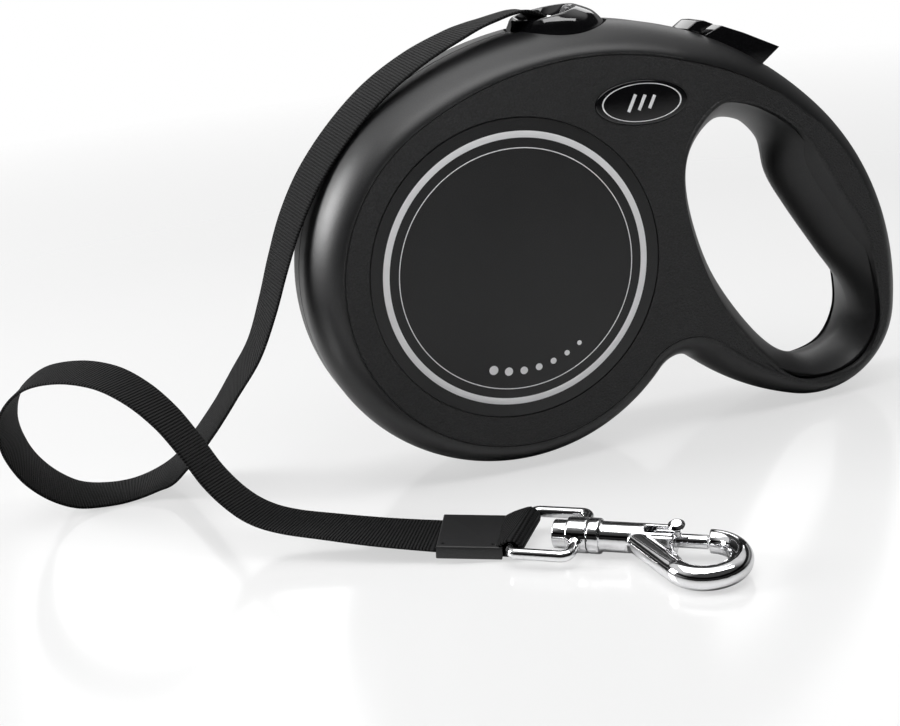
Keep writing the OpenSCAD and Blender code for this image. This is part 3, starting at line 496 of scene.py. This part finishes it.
groove_in, groove_out, groove_deep = 47.9, 48.4, 0.5
reel_axis = (-38.805, 68.2)
badge_at, badge_turn = (6.895, 114.8), math.radians(-3.5)


def circle_loop(radius, y, count=180):
    return [(reel_axis[0] + radius * math.cos(2 * math.pi * i / count), y,
             reel_axis[1] + radius * math.sin(2 * math.pi * i / count)) for i in range(count)]


def badge_loop(grow, y, count=96):
    ring = []
    for i in range(count):
        a = 2 * math.pi * i / count
        u, v = (15.6 + grow) * math.cos(a), (6.9 + grow) * math.sin(a)
        ring.append((badge_at[0] + u * math.cos(badge_turn) - v * math.sin(badge_turn), y,
                     badge_at[1] + u * math.sin(badge_turn) + v * math.cos(badge_turn)))
    return ring


def modify(piece, kind, **settings):
    """Adds a modifier with its settings and applies it."""
    only(piece)
    bpy.ops.object.modifier_add(type=kind)
    added = piece.modifiers[-1]
    for key, value in settings.items():
        setattr(added, key, value)
    bpy.ops.object.modifier_apply(modifier=added.name)


def settle(piece):
    """Puts the piece's place into its mesh."""
    only(piece)
    bpy.ops.object.transform_apply(location=True, rotation=True, scale=True)


def flip(piece):
    only(piece)
    bpy.ops.object.mode_set(mode="EDIT")
    bpy.ops.mesh.select_all(action="SELECT")
    bpy.ops.mesh.flip_normals()
    bpy.ops.object.mode_set(mode="OBJECT")


def joined(parts, gap):
    """Joins meshes into the first one, merges doubles and turns the faces one way."""
    bpy.ops.object.select_all(action="DESELECT")
    for part in parts:
        part.select_set(True)
    bpy.context.view_layer.objects.active = parts[0]
    bpy.ops.object.join()
    tidy_normals(parts[0], gap)
    return parts[0]


def mesh_piece(name, made):
    mesh = bpy.data.meshes.new(name)
    made.to_mesh(mesh)
    made.free()
    piece = bpy.data.objects.new(name, mesh)
    bpy.context.collection.objects.link(piece)
    return piece


def capped(name, rings):
    """A wall through rings with a flat floor on its last ring."""
    part = loft(name, rings, lids=False)
    fill = bmesh.new()
    fill.from_mesh(part.data)
    fill.verts.ensure_lookup_table()
    fill.faces.new(fill.verts[-len(rings[0]):])
    fill.to_mesh(part.data)
    fill.free()
    return part


def half_skin(name, inner, front):
    """One face of a half shell, made with y outwards: its shoulder, hole and flat face.
    inner is the wall's thickness for the inside, and 0 for the outside."""
    planes = [taper_from + 1.3 * i for i in range(41)]
    shoulder = [outer_ring(0, 0, 0, 0.35), outer_ring(0, 0, -0.35)]
    if inner:
        shoulder = [outer_ring(0, 0, 0, inner)]
    shoulder += [outer_ring(0.1 * i, 0, 0.1 * i * inner, inner) for i in (1, 2)]
    for i in range(19):
        turn = math.radians(90 * i / 19)
        share = 0.3 + 0.7 * math.sin(turn) ** 1.25
        shoulder.append(outer_ring(share, 1 - math.cos(turn) ** 1.25, share * inner, inner))
    wall = [hole_ring(1 - 0.0625 * i, (1 - 0.0625 * i) * inner, inner) for i in range(16)]
    if inner:
        shoulder.append(outer_ring(1, 1, inner, inner))
        wall.append(hole_ring(0, 0, inner))
    else:
        seam = [outer_ring(1, 1, 0, out) for out in (0, 0.14, 0.36, 0.55)]
        for ring in seam[1:3]:
            for i, (x, y, z) in enumerate(ring):
                ring[i] = (x, y - seam_depth(x, z), z)
        shoulder += seam
        wall[0] = hole_ring(1, 0.8, 0)
        bead = ((0, 1.9), (-0.14, 1.6), (-0.2, 1.2), (-0.14, 0.8), (0.05, 0.4), (0.35, 0.1))
        wall = [hole_ring(1, sink, out) for sink, out in bead] + wall
        wall += [hole_ring(0, -0.35), hole_ring(0, 0, 0.35)]

    def on_face(ring):
        return [Vector((p[0], depth_at(p[0]) - inner, p[2])) for p in ring]

    places = cut_places(shoulder[-1], planes)
    rings = [at_places(r, places) for r in shoulder]
    rings[-1] = on_face(rings[-1])
    hole_places = cut_places(wall[0], planes)
    hole_rings = [at_places(r, hole_places) for r in wall]
    hole_rings[0] = on_face(hole_rings[0])
    loops = [rings[-1], hole_rings[0]]
    parts = []
    if front and not inner:
        rim_of_badge = badge_loop(0.15, half_depth)
        badge_places = cut_places(rim_of_badge, planes)
        badge_top = on_face(at_places(rim_of_badge, badge_places))
        badge_floor = at_places(badge_loop(0.15, half_depth - 1.2), badge_places)
        loops += [circle_loop(groove_out, half_depth), badge_top]
        parts += [capped("part", [badge_top, badge_floor]),
                  capped("part", [circle_loop(groove_out, half_depth),
                                  circle_loop(groove_out - 0.1, half_depth - groove_deep),
                                  circle_loop(groove_in + 0.1, half_depth - groove_deep),
                                  circle_loop(groove_in, half_depth)])]
    sheet = face_sheet(loops, planes, inner)
    parts += [loft("part", rings, lids=False), loft("part", hole_rings, lids=False)]
    skin = joined([mesh_piece(name, sheet)] + parts, 0.002)
    # The open skin's faces have to point away from the parting plane, and the inner ones to it
    face = max(skin.data.polygons, key=lambda f: f.center.y + f.area)
    if (face.normal.y < 0) != bool(inner):
        flip(skin)
    return skin, rings[0], hole_rings[-1]


def half_shell(name, front):
    """Both skins of a half, closed by the two lips that meet the other half."""
    outside, edge, hole_edge = half_skin(name, 0, front)
    inside, in_edge, in_hole_edge = half_skin("part", 2.4, front)
    lips = []
    for pair in ((edge, in_edge), (hole_edge, in_hole_edge)):
        lip = bmesh.new()
        edges = []
        for loop in pair:
            corners = [lip.verts.new((p[0] * MM, 0, p[2] * MM)) for p in loop]
            edges += [lip.edges.new((corners[i - 1], corners[i])) for i in range(len(corners))]
        bmesh.ops.triangle_fill(lip, use_beauty=True, use_dissolve=False, edges=edges)
        lips.append(mesh_piece("part", lip))
    shell = joined([outside, inside] + lips, 0.002)
    if front:
        shell.scale = (1, -1, 1)
        settle(shell)
    tidy_normals(shell)
    return shell


def cut_away(piece, tools, operation="DIFFERENCE"):
    """Cuts the tools out of a piece, or joins them to it, and removes them."""
    for tool in tools:
        modify(piece, "BOOLEAN", operation=operation, object=tool, solver="EXACT")
        bpy.data.objects.remove(tool)


def drum(radius, start, end, sides=48):
    """A plain round tool between two points in millimetres."""
    a, b = Vector(start) * MM, Vector(end) * MM
    bpy.ops.mesh.primitive_cylinder_add(vertices=sides, radius=radius * MM,
                                        depth=(b - a).length, location=(a + b) / 2,
                                        rotation=(b - a).to_track_quat("Z", "Y").to_euler())
    settle(bpy.context.object)
    return bpy.context.object


button_frame = Matrix.Translation(Vector((49.692, 0, 123.846)) * MM) @ Matrix.Rotation(
    math.radians(31.2), 4, "Y")


def block(low_corner, high_corner, frame_of=None):
    """A plain box between two corners in millimetres, in a frame of its own."""
    a, b = Vector(low_corner) * MM, Vector(high_corner) * MM
    bpy.ops.mesh.primitive_cube_add(size=1, location=(a + b) / 2)
    made = bpy.context.object
    made.scale = b - a
    settle(made)
    if frame_of is not None:
        made.data.transform(frame_of)
    return made


def plastic(name, colour, roughness, grain, relief):
    """Moulded plastic: fine grain in its relief, faint clouds in its colour and polish."""
    made, shader = material(name, colour, roughness)
    place = graph(made, "TexCoord").outputs["Object"]
    fine = graph(made, "TexNoise", Vector=place, Scale=grain, Detail=2.0, Roughness=0.6)
    cloud = graph(made, "TexNoise", Vector=place, Scale=26.0, Detail=3.0)
    bump = graph(made, "Bump", Strength=0.75, Distance=relief, Height=fine.outputs["Fac"])
    link(made, bump.outputs[0], shader.inputs["Normal"])
    link(made, graph(made, "MapRange", Value=cloud.outputs["Fac"], To_Min=roughness - 0.05,
                     To_Max=roughness + 0.06).outputs[0], shader.inputs["Roughness"])
    speckle = graph(made, "MapRange", Value=fine.outputs["Fac"], From_Min=0.35, From_Max=0.7)
    mix = graph(made, "Mix", data_type="RGBA", blend_type="MIX",
                i0=calc(made, "MULTIPLY", speckle.outputs[0], cloud.outputs["Fac"]))
    mix.inputs[6].default_value = (*[c * 0.55 for c in colour], 1)
    mix.inputs[7].default_value = (*[c * 2.6 for c in colour], 1)
    link(made, mix.outputs[2], shader.inputs["Base Color"])
    return made


grained = plastic("grained_shell", (0.010, 0.010, 0.0105), 0.5, 1500.0, 0.0006)
satin = plastic("satin_shell", (0.009, 0.009, 0.0095), 0.4, 3200.0, 0.00004)


def finish_shell(piece):
    """Grained all over, with the shoulder and the centre of the face in satin."""
    piece.data.materials.append(grained)
    piece.data.materials.append(satin)
    for face in piece.data.polygons:
        x, y, z = (c / MM for c in face.center)
        near = abs(y) > depth_at(x) - 0.12
        centre = math.dist((x, z), reel_axis) < groove_in and y < 0
        if centre or not near:
            face.material_index = 1


front_skin = half_shell("housing_front", True)
rear_skin = half_shell("housing_rear", False)
screw_places = [(rim[0] + (rim[2] - 5.6) * math.cos(math.radians(a)),
                 rim[1] + (rim[2] - 5.6) * math.sin(math.radians(a)), 12.5)
                for a in (140, 200, 262)]
screw_places += [(neck[0] + 13, neck[1] + 14, 13),
                 (grip[0] + grip[2] - 6.8, lobe[2] + 14.5, 10.5),
                 (hole_at[0] + 39, hole_at[1] + 36, 10.5)]
# The shell's skins cross inside the thin bar below the opening, and a boss joined to them there breaks
# the mesh. So this screw has only its bore, though the CAD gives it a boss and a sunk head as well
thin_place = (lobe[0], 5.8, 10.5)
boss_r, sunk_head_r, bore_r = 3.6, 3.0, 1.45
for skin in (front_skin, rear_skin):
    side = -1 if skin == front_skin else 1
    if side > 0:
        for x, z, length in screw_places:
            cut_away(skin, [drum(boss_r, (x, 1, z), (x, length + 2, z))], "UNION")
            cut_away(skin, [drum(sunk_head_r, (x, length - 2.4, z), (x, 30, z)),
                            drum(bore_r, (x, -1, z), (x, length, z))])
        x, z, length = thin_place
        cut_away(skin, [drum(bore_r, (x, -1, z), (x, length, z))])
    cut_away(skin, [block((-14.6, -8.3, -6), (11.7, 8.3, 12), button_frame),
                    block((-22.7, -2.1, -8), (-16.7, 2.1, 12), button_frame),
                    drum(16.5, (top[0], 0, 131.3), (top[0], 0, 160), 72)])
    finish_shell(skin)
    smooth(skin, 32)
    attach(skin, "housing")
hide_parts("front_shell")
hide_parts("rear_shell")

# ---- Oval badge ----
# A small gloss plate let into the face above the handle's opening. It has a fine bright border
# and a plain pattern of three slanted bars.
def gloss(name, colour, roughness):
    """Polished moulded plastic: a very slight waviness and faint wipe marks."""
    made, shader = material(name, colour, roughness)
    place = graph(made, "TexCoord").outputs["Object"]
    wave = graph(made, "TexNoise", Vector=place, Scale=90.0, Detail=2.0)
    marks = graph(made, "TexNoise", Vector=place, Scale=420.0, Detail=4.0)
    bump = graph(made, "Bump", Strength=0.12, Distance=0.0004, Height=wave.outputs["Fac"])
    link(made, bump.outputs[0], shader.inputs["Normal"])
    link(made, graph(made, "MapRange", Value=marks.outputs["Fac"], To_Min=roughness - 0.02,
                     To_Max=roughness + 0.05).outputs[0], shader.inputs["Roughness"])
    tint = graph(made, "ValToRGB", Fac=marks.outputs["Fac"])
    tint.color_ramp.elements[0].color = (*[c * 0.8 for c in colour], 1)
    tint.color_ramp.elements[1].color = (*[c * 1.25 for c in colour], 1)
    link(made, tint.outputs[0], shader.inputs["Base Color"])
    shader.inputs["Coat Weight"].default_value = 0.4
    shader.inputs["Coat Roughness"].default_value = 0.03
    return made


gloss_black = gloss("gloss_black", (0.004, 0.004, 0.0045), 0.07)
print_silver, print_shader = material("silver_print", (0.8, 0.8, 0.81), 0.42)
print_place = graph(print_silver, "TexCoord").outputs["Object"]
flake = graph(print_silver, "TexNoise", Vector=print_place, Scale=2400.0, Detail=2.0)
flake_bump = graph(print_silver, "Bump", Strength=0.5, Distance=0.00005,
                   Height=flake.outputs["Fac"])
link(print_silver, flake_bump.outputs[0], print_shader.inputs["Normal"])
link(print_silver, graph(print_silver, "MapRange", Value=flake.outputs["Fac"], To_Min=0.3,
                         To_Max=0.5).outputs[0], print_shader.inputs["Roughness"])
badge_frame = (Matrix.Translation(Vector((badge_at[0], -half_depth, badge_at[1])) * MM)
               @ Matrix.Rotation(-badge_turn, 4, "Y") @ Matrix.Rotation(math.radians(90), 4, "X"))


def disc_piece(name, radius, thick, stretch=1.0, sides=128, edge=0.0, frame_of=None):
    """A flat round plate on z = 0 with a rounded upper edge, stretched to an oval."""
    bpy.ops.mesh.primitive_cylinder_add(vertices=sides, radius=radius * MM, depth=thick * MM,
                                        location=(0, 0, thick * MM / 2))
    made = bpy.context.object
    made.name = name
    made.scale = (stretch, 1, 1)
    settle(made)
    if edge:
        only(made)
        bpy.ops.object.mode_set(mode="EDIT")
        shape = bmesh.from_edit_mesh(made.data)
        for item in shape.edges:
            item.select = all(v.co.z > (thick - 0.01) * MM for v in item.verts)
        bmesh.update_edit_mesh(made.data)
        bpy.ops.mesh.bevel(offset=edge * MM, segments=3, profile=0.6)
        bpy.ops.object.mode_set(mode="OBJECT")
    if frame_of is not None:
        made.data.transform(frame_of)
    smooth(made, 40)
    return made


def ring_piece(name, radius, width, thick, stretch=1.0, frame_of=None, sides=180):
    """A thin flat ring on z = 0: a disc with its face inset and the middle taken out."""
    bpy.ops.mesh.primitive_circle_add(vertices=sides, radius=radius * MM, fill_type="NGON")
    made = bpy.context.object
    made.name = name
    bpy.ops.object.mode_set(mode="EDIT")
    bpy.ops.mesh.select_all(action="SELECT")
    bpy.ops.mesh.inset(thickness=width * MM, use_even_offset=True)
    bpy.ops.mesh.delete(type="FACE")
    bpy.ops.object.mode_set(mode="OBJECT")
    modify(made, "SOLIDIFY", thickness=thick * MM, offset=1)
    made.scale = (stretch, 1, 1)
    settle(made)
    modify(made, "BEVEL", width=thick * 0.3 * MM, segments=2)
    if frame_of is not None:
        made.data.transform(frame_of)
    tidy_normals(made)
    smooth(made, 40)
    return made


badge = disc_piece("badge_oval", 6.9, 1.6, 15.6 / 6.9, 128, 0.35,
                   badge_frame @ Matrix.Translation((0, 0, -1.2 * MM)))
badge.data.materials.append(gloss_black)
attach(badge, "housing")
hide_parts("badge_plate")
badge_line = ring_piece("badge_border", 6.0, 0.22, 0.08, 2.25,
                        badge_frame @ Matrix.Translation((0, 0, 0.38 * MM)))
bars = []
for step in range(3):
    bar = block((-0.55, -2.9 + step * 0.35, 0.36), (0.55, 2.9 - step * 0.35, 0.46))
    bar.data.transform(badge_frame @ Matrix.Translation(((step - 1) * 3.4 * MM, 0, 0))
                       @ Matrix.Rotation(math.radians(-24), 4, "Z"))
    modify(bar, "BEVEL", width=0.25 * MM, segments=2, affect="EDGES", limit_method="NONE")
    bars.append(bar)
badge_line = joined([badge_line] + bars, 0)
badge_line.data.materials.append(print_silver)
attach(badge_line, "housing")

# ---- Ring printed on the face ----
# Silver ink on the satin centre of the face: one closed ring of even width, with a hairline ring
# inside it and a short row of dots.
face_frame = (Matrix.Translation(Vector((reel_axis[0], -half_depth, reel_axis[1])) * MM)
              @ Matrix.Rotation(math.radians(90), 4, "X"))
face_print = ring_piece("face_ring", 44.0, 2.1, 0.05, 1.0, face_frame)
hairline = ring_piece("part", 38.9, 0.3, 0.05, 1.0, face_frame)
dots = []
for step in range(7):
    turn = math.radians(250 + step * 9)
    dots.append(disc_piece("part", 1.5 - 0.12 * step, 0.05, 1.0, 32, 0.0, face_frame
                           @ Matrix.Translation((33 * MM * math.cos(turn),
                                                 33 * MM * math.sin(turn), 0))))
face_print = joined([face_print, hairline] + dots, 0)
face_print.data.materials.append(print_silver)
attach(face_print, "housing")

# ---- Nozzle ----
# A polished black plug on top of the housing. Its wide funnel lets the tape bend towards the dog
# without chafing, and a rounded tongue stands in the funnel's far wall.
nozzle_r, seat, nozzle_x = 16.2, 131.313, -11.435
mouth = (nozzle_x - 3.7, seat + 12.9)


def oval(x, rx, ry, z, tilt):
    return [(x + rx * math.cos(a), ry * math.sin(a), z + tilt * rx * math.cos(a))
            for a in (2 * math.pi * i / 96 for i in range(96))]


def through(rings, steps):
    """Smooth rings through a few given ones."""
    flat = [tuple(c for p in ring for c in p) for ring in rings]
    return [[run[i:i + 3] for i in range(0, len(run), 3)] for run in smooth_run(flat, steps)]


slot_x = nozzle_x - 2.6
outer_wall = through([
    oval(nozzle_x, nozzle_r - 0.4, nozzle_r - 0.4, seat + 0.4, 0),
    oval(nozzle_x, nozzle_r, nozzle_r, seat + 2, 0),
    oval(nozzle_x, nozzle_r, nozzle_r, seat + 5.4, 0),
    oval(nozzle_x - 0.1, nozzle_r - 0.15, nozzle_r - 0.1, seat + 7, 0.01),
    oval(nozzle_x - 0.5, nozzle_r - 0.9, nozzle_r - 0.5, seat + 8.7, 0.03),
    oval(nozzle_x - 1.6, nozzle_r - 2.8, nozzle_r - 1.3, seat + 10.9, 0.09),
    oval(mouth[0] + 0.2, nozzle_r - 5.3, nozzle_r - 2.7, mouth[1] - 0.4, 0.15)], 5)
lip = through([
    oval(mouth[0], nozzle_r - 5.9, nozzle_r - 3.1, mouth[1] - 0.02, 0.15),
    oval(mouth[0], nozzle_r - 6.6, nozzle_r - 3.6, mouth[1] + 0.02, 0.15),
    oval(mouth[0], nozzle_r - 7.1, nozzle_r - 4.05, mouth[1] - 0.35, 0.15),
    oval(slot_x - 0.9, 6.8, 11.4, seat + 10.2, 0.1),
    oval(slot_x - 0.2, 4.2, 11.3, seat + 7, 0.03),
    oval(slot_x, 3.4, 11.2, seat + 4, 0),
    oval(slot_x, 3.2, 11.1, seat + 1, 0)], 5)
nozzle = loft("nozzle", outer_wall + lip, closed=True)
tidy_normals(nozzle, 0.001)
smooth(nozzle, 40)
nozzle.data.materials.append(gloss_black)
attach(nozzle, "housing")
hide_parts("tape_nozzle")


def rounded_bar(name, start, end, radius, flatten=1.0):
    """A bar with domed ends between two points: a sphere, halved and drawn out."""
    a, b = Vector(start) * MM, Vector(end) * MM
    bpy.ops.mesh.primitive_uv_sphere_add(segments=48, ring_count=24, radius=radius * MM)
    made = bpy.context.object
    made.name = name
    bpy.ops.object.mode_set(mode="EDIT")
    shape = bmesh.from_edit_mesh(made.data)
    for vert in shape.verts:
        vert.select = vert.co.z > 1e-6
    shape.select_flush(True)
    bmesh.update_edit_mesh(made.data)
    bpy.ops.transform.translate(value=(0, 0, (b - a).length))
    bpy.ops.object.mode_set(mode="OBJECT")
    made.scale = (flatten, 1, 1)
    settle(made)
    made.rotation_euler = (b - a).to_track_quat("Z", "Y").to_euler()
    made.location = a
    settle(made)
    smooth(made, 60)
    return made


tongue_grey = gloss("tongue_grey", (0.05, 0.05, 0.052), 0.2)
tongue = rounded_bar("funnel_tongue", (slot_x + 3, 0, seat + 5.4),
                     (mouth[0] + 8, 0, mouth[1] - 0.4), 1.8)
tongue.data.materials.append(tongue_grey)
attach(tongue, "housing")
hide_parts("nozzle_tongue")

# ---- Brake button and lock slider ----
# Both are gloss black mouldings with softened edges. The button rocks the brake lever below it,
# and the slider beside it holds it down.
def moulded(node, name, edge):
    """A merged copy of a piece with its edges rounded over."""
    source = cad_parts[node]
    made = source.copy()
    made.data = source.data.copy()
    made.name = name
    bpy.context.collection.objects.link(made)
    made.parent = None
    made.matrix_world = Matrix()
    made.data.materials.clear()
    only(made)
    bpy.ops.object.mode_set(mode="EDIT")
    bpy.ops.mesh.select_all(action="SELECT")
    bpy.ops.mesh.remove_doubles(threshold=0.002 * MM)
    bpy.ops.mesh.normals_make_consistent(inside=False)
    bpy.ops.mesh.dissolve_limited(angle_limit=math.radians(0.5))
    bpy.ops.object.mode_set(mode="OBJECT")
    if edge:
        modify(made, "BEVEL", width=edge * MM, segments=3, limit_method="ANGLE",
               angle_limit=math.radians(25), profile=0.6)
    smooth(made, 30)
    return made


for node, name, body in (("brake_button", "thumb_button", "button"),
                         ("lock_slider", "lock_slide", "slider")):
    piece = moulded(node, name, 0.55)
    piece.data.materials.append(gloss_black)
    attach(piece, body)
    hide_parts(node)

# ---- Sleeve over the tape's end ----
# A satin black moulded sleeve with rounded corners, pressed over the sewn end of the webbing.
# Two small dimples near its front edge are marks of its mould.
sleeve_frame = Matrix(((sleeve_way.x, sleeve_side.x, sleeve_up.x, tape_end.x * MM),
                       (sleeve_way.y, sleeve_side.y, sleeve_up.y, tape_end.y * MM),
                       (sleeve_way.z, sleeve_side.z, sleeve_up.z, tape_end.z * MM),
                       (0, 0, 0, 1)))


def bevel_where(piece, chosen, size, segments):
    """Rounds the edges for which chosen(edge) is true, by so many millimetres."""
    only(piece)
    bpy.ops.object.mode_set(mode="EDIT")
    shape = bmesh.from_edit_mesh(piece.data)
    bpy.ops.mesh.select_all(action="DESELECT")
    for item in shape.edges:
        item.select = chosen(item)
    bmesh.update_edit_mesh(piece.data)
    bpy.ops.mesh.bevel(offset=size * MM, segments=segments, profile=0.5)
    bpy.ops.object.mode_set(mode="OBJECT")


sleeve = block((0, -11.5, -2), (19.2, 11.5, 2))
sleeve.name = "tape_sleeve_cap"
bevel_where(sleeve, lambda e: abs(e.verts[0].co.z - e.verts[1].co.z) > 3 * MM
            and e.verts[0].co.x < MM, 2.6, 6)
bevel_where(sleeve, lambda e: abs(e.verts[0].co.z - e.verts[1].co.z) > 3 * MM
            and e.verts[0].co.x > 18 * MM, 0.7, 4)
bevel_where(sleeve, lambda e: abs(e.verts[0].co.z - e.verts[1].co.z) < 0.1 * MM
            and len(e.link_faces) == 2 and e.calc_face_angle() > 1, 0.55, 4)
for x in (1.9, 16.4):
    cut_away(sleeve, [drum(0.5, (x, -9.4, 1.75), (x, -9.4, 3), 24)])
sleeve.data.transform(sleeve_frame)
smooth(sleeve, 40)
sleeve_plastic = plastic("satin_sleeve", (0.012, 0.012, 0.0125), 0.42, 3000.0, 0.00005)
sleeve.data.materials.append(sleeve_plastic)
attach(sleeve, "housing")
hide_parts("tape_sleeve")

# ---- Swivel eye, hook and bolt ----
# Zinc castings with bright chrome plate. The webbing closes round the eye's bar, the hook turns
# on a rivet through the eye's boss, and a sliding bolt with a thumb knob shuts the ring.
chrome, chrome_shader = material("chrome_plate", (0.82, 0.82, 0.83), 0.05, 1.0)
chrome_place = graph(chrome, "TexCoord").outputs["Object"]
cast_wave = graph(chrome, "TexNoise", Vector=chrome_place, Scale=160.0, Detail=2.0)
polish = graph(chrome, "TexNoise", Vector=chrome_place, Scale=900.0, Detail=4.0)
cast_bump = graph(chrome, "Bump", Strength=0.1, Distance=0.0004,
                  Height=cast_wave.outputs["Fac"])
link(chrome, cast_bump.outputs[0], chrome_shader.inputs["Normal"])
link(chrome, graph(chrome, "MapRange", Value=polish.outputs["Fac"], To_Min=0.03,
                   To_Max=0.09).outputs[0], chrome_shader.inputs["Roughness"])
chrome_tone = graph(chrome, "ValToRGB", Fac=polish.outputs["Fac"])
chrome_tone.color_ramp.elements[0].color = (0.74, 0.74, 0.75, 1)
chrome_tone.color_ramp.elements[1].color = (0.88, 0.88, 0.89, 1)
link(chrome, chrome_tone.outputs[0], chrome_shader.inputs["Base Color"])


def cast(node, name, grain, rounds):
    """A casting: a merged copy made one even skin, then polished smooth."""
    made = moulded(node, name, 0)
    modify(made, "REMESH", mode="VOXEL", voxel_size=grain * MM)
    modify(made, "SMOOTH", factor=0.5, iterations=rounds)
    only(made)
    bpy.ops.object.shade_smooth()
    return made


for node, name, body, grain in (("swivel_eye", "eye_frame", "housing", 0.3),
                                ("hook_body", "snap_hook", "hook", 0.3)):
    piece = cast(node, name, grain, 5)
    piece.data.materials.append(chrome)
    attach(piece, body)
    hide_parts(node)
for node, name, body, edge in (("swivel_rivet", "swivel_post", "hook", 0.4),
                               ("hook_bolt", "sliding_bolt", "bolt", 0.3),
                               ("bolt_knob", "thumb_knob", "bolt", 0.2)):
    piece = moulded(node, name, edge)
    piece.data.materials.append(chrome)
    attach(piece, body)
    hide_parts(node)

# ---- Reel, brake lever, springs and screws ----
# The moulded nylon reel, the rolled-up tape and the steel parts keep the shapes they have, and get the
# finish of what they are made of. The rolled-up tape's colour also carries painted shade in its
# grooves.
nylon = plastic("nylon", (0.045, 0.046, 0.048), 0.45, 1500.0, 0.00006)


def metal(name, colour, roughness, lines):
    """Plain steel with fine drawn lines and a slightly uneven polish."""
    made, shader = material(name, colour, roughness, 1.0)
    place = graph(made, "TexCoord").outputs["Object"]
    grain = graph(made, "TexNoise", Vector=place, Scale=lines, Detail=4.0)
    stain = graph(made, "TexNoise", Vector=place, Scale=120.0, Detail=2.0)
    bump = graph(made, "Bump", Strength=0.3, Distance=0.00004, Height=grain.outputs["Fac"])
    link(made, bump.outputs[0], shader.inputs["Normal"])
    link(made, graph(made, "MapRange", Value=stain.outputs["Fac"], To_Min=roughness - 0.08,
                     To_Max=roughness + 0.1).outputs[0], shader.inputs["Roughness"])
    tone = graph(made, "ValToRGB", Fac=stain.outputs["Fac"])
    tone.color_ramp.elements[0].color = (*[c * 0.8 for c in colour], 1)
    tone.color_ramp.elements[1].color = (*colour, 1)
    link(made, tone.outputs[0], shader.inputs["Base Color"])
    return made


steel = metal("drawn_steel", (0.5, 0.5, 0.51), 0.28, 1600.0)
spring_steel = metal("blued_spring_steel", (0.24, 0.24, 0.27), 0.32, 1200.0)

roll, roll_shader = material("rolled_webbing", (0.02, 0.02, 0.021), 0.65)
roll_place = graph(roll, "TexCoord").outputs["Object"]
roll_centre = graph(roll, "Mapping", Vector=roll_place)
roll_centre.inputs["Location"].default_value = (-reel_axis[0] * MM, 0, -reel_axis[1] * MM)
spot = graph(roll, "SeparateXYZ", Vector=roll_centre.outputs[0])
round_r = calc(roll, "SQRT", calc(roll, "ADD", calc(roll, "POWER", spot.outputs["X"], 2.0),
                                  calc(roll, "POWER", spot.outputs["Z"], 2.0)))
layers = calc(roll, "SINE", calc(roll, "MULTIPLY", round_r, 2 * math.pi / MM))
angle = calc(roll, "ARCTAN2", spot.outputs["Z"], spot.outputs["X"])
ribs = calc(roll, "SINE", calc(roll, "MULTIPLY", angle, 300.0))
weave = calc(roll, "ADD", layers, calc(roll, "MULTIPLY", ribs, 0.5))
roll_bump = graph(roll, "Bump", Strength=0.8, Distance=0.0003, Height=weave)
link(roll, roll_bump.outputs[0], roll_shader.inputs["Normal"])
# The colour follows the relief of the wound layers and ribs. It is darker down in the grooves between
# them: painted shade.
roll_tone = graph(roll, "ValToRGB", Fac=calc(roll, "MULTIPLY_ADD", weave, 0.3))
roll_tone.color_ramp.elements[0].color = (0.006, 0.006, 0.006, 1)
roll_tone.color_ramp.elements[1].color = (0.035, 0.035, 0.037, 1)
link(roll, roll_tone.outputs[0], roll_shader.inputs["Base Color"])
finishes = {
    nylon: ("spool_drum", "ratchet_flange", "spring_arbor", "spring_cover", "brake_lever"),
    steel: ("spool_axle", "lever_pin", "housing_screws", "flange_screws"),
    spring_steel: ("button_spring", "power_spring", "bolt_spring"),
    roll: ("wound_tape", "tape_inner_run")}
for finish, nodes in finishes.items():
    for node in nodes:
        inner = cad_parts[node]
        for place in inner.material_slots:
            place.material = finish
        if not inner.material_slots:
            inner.data.materials.append(finish)
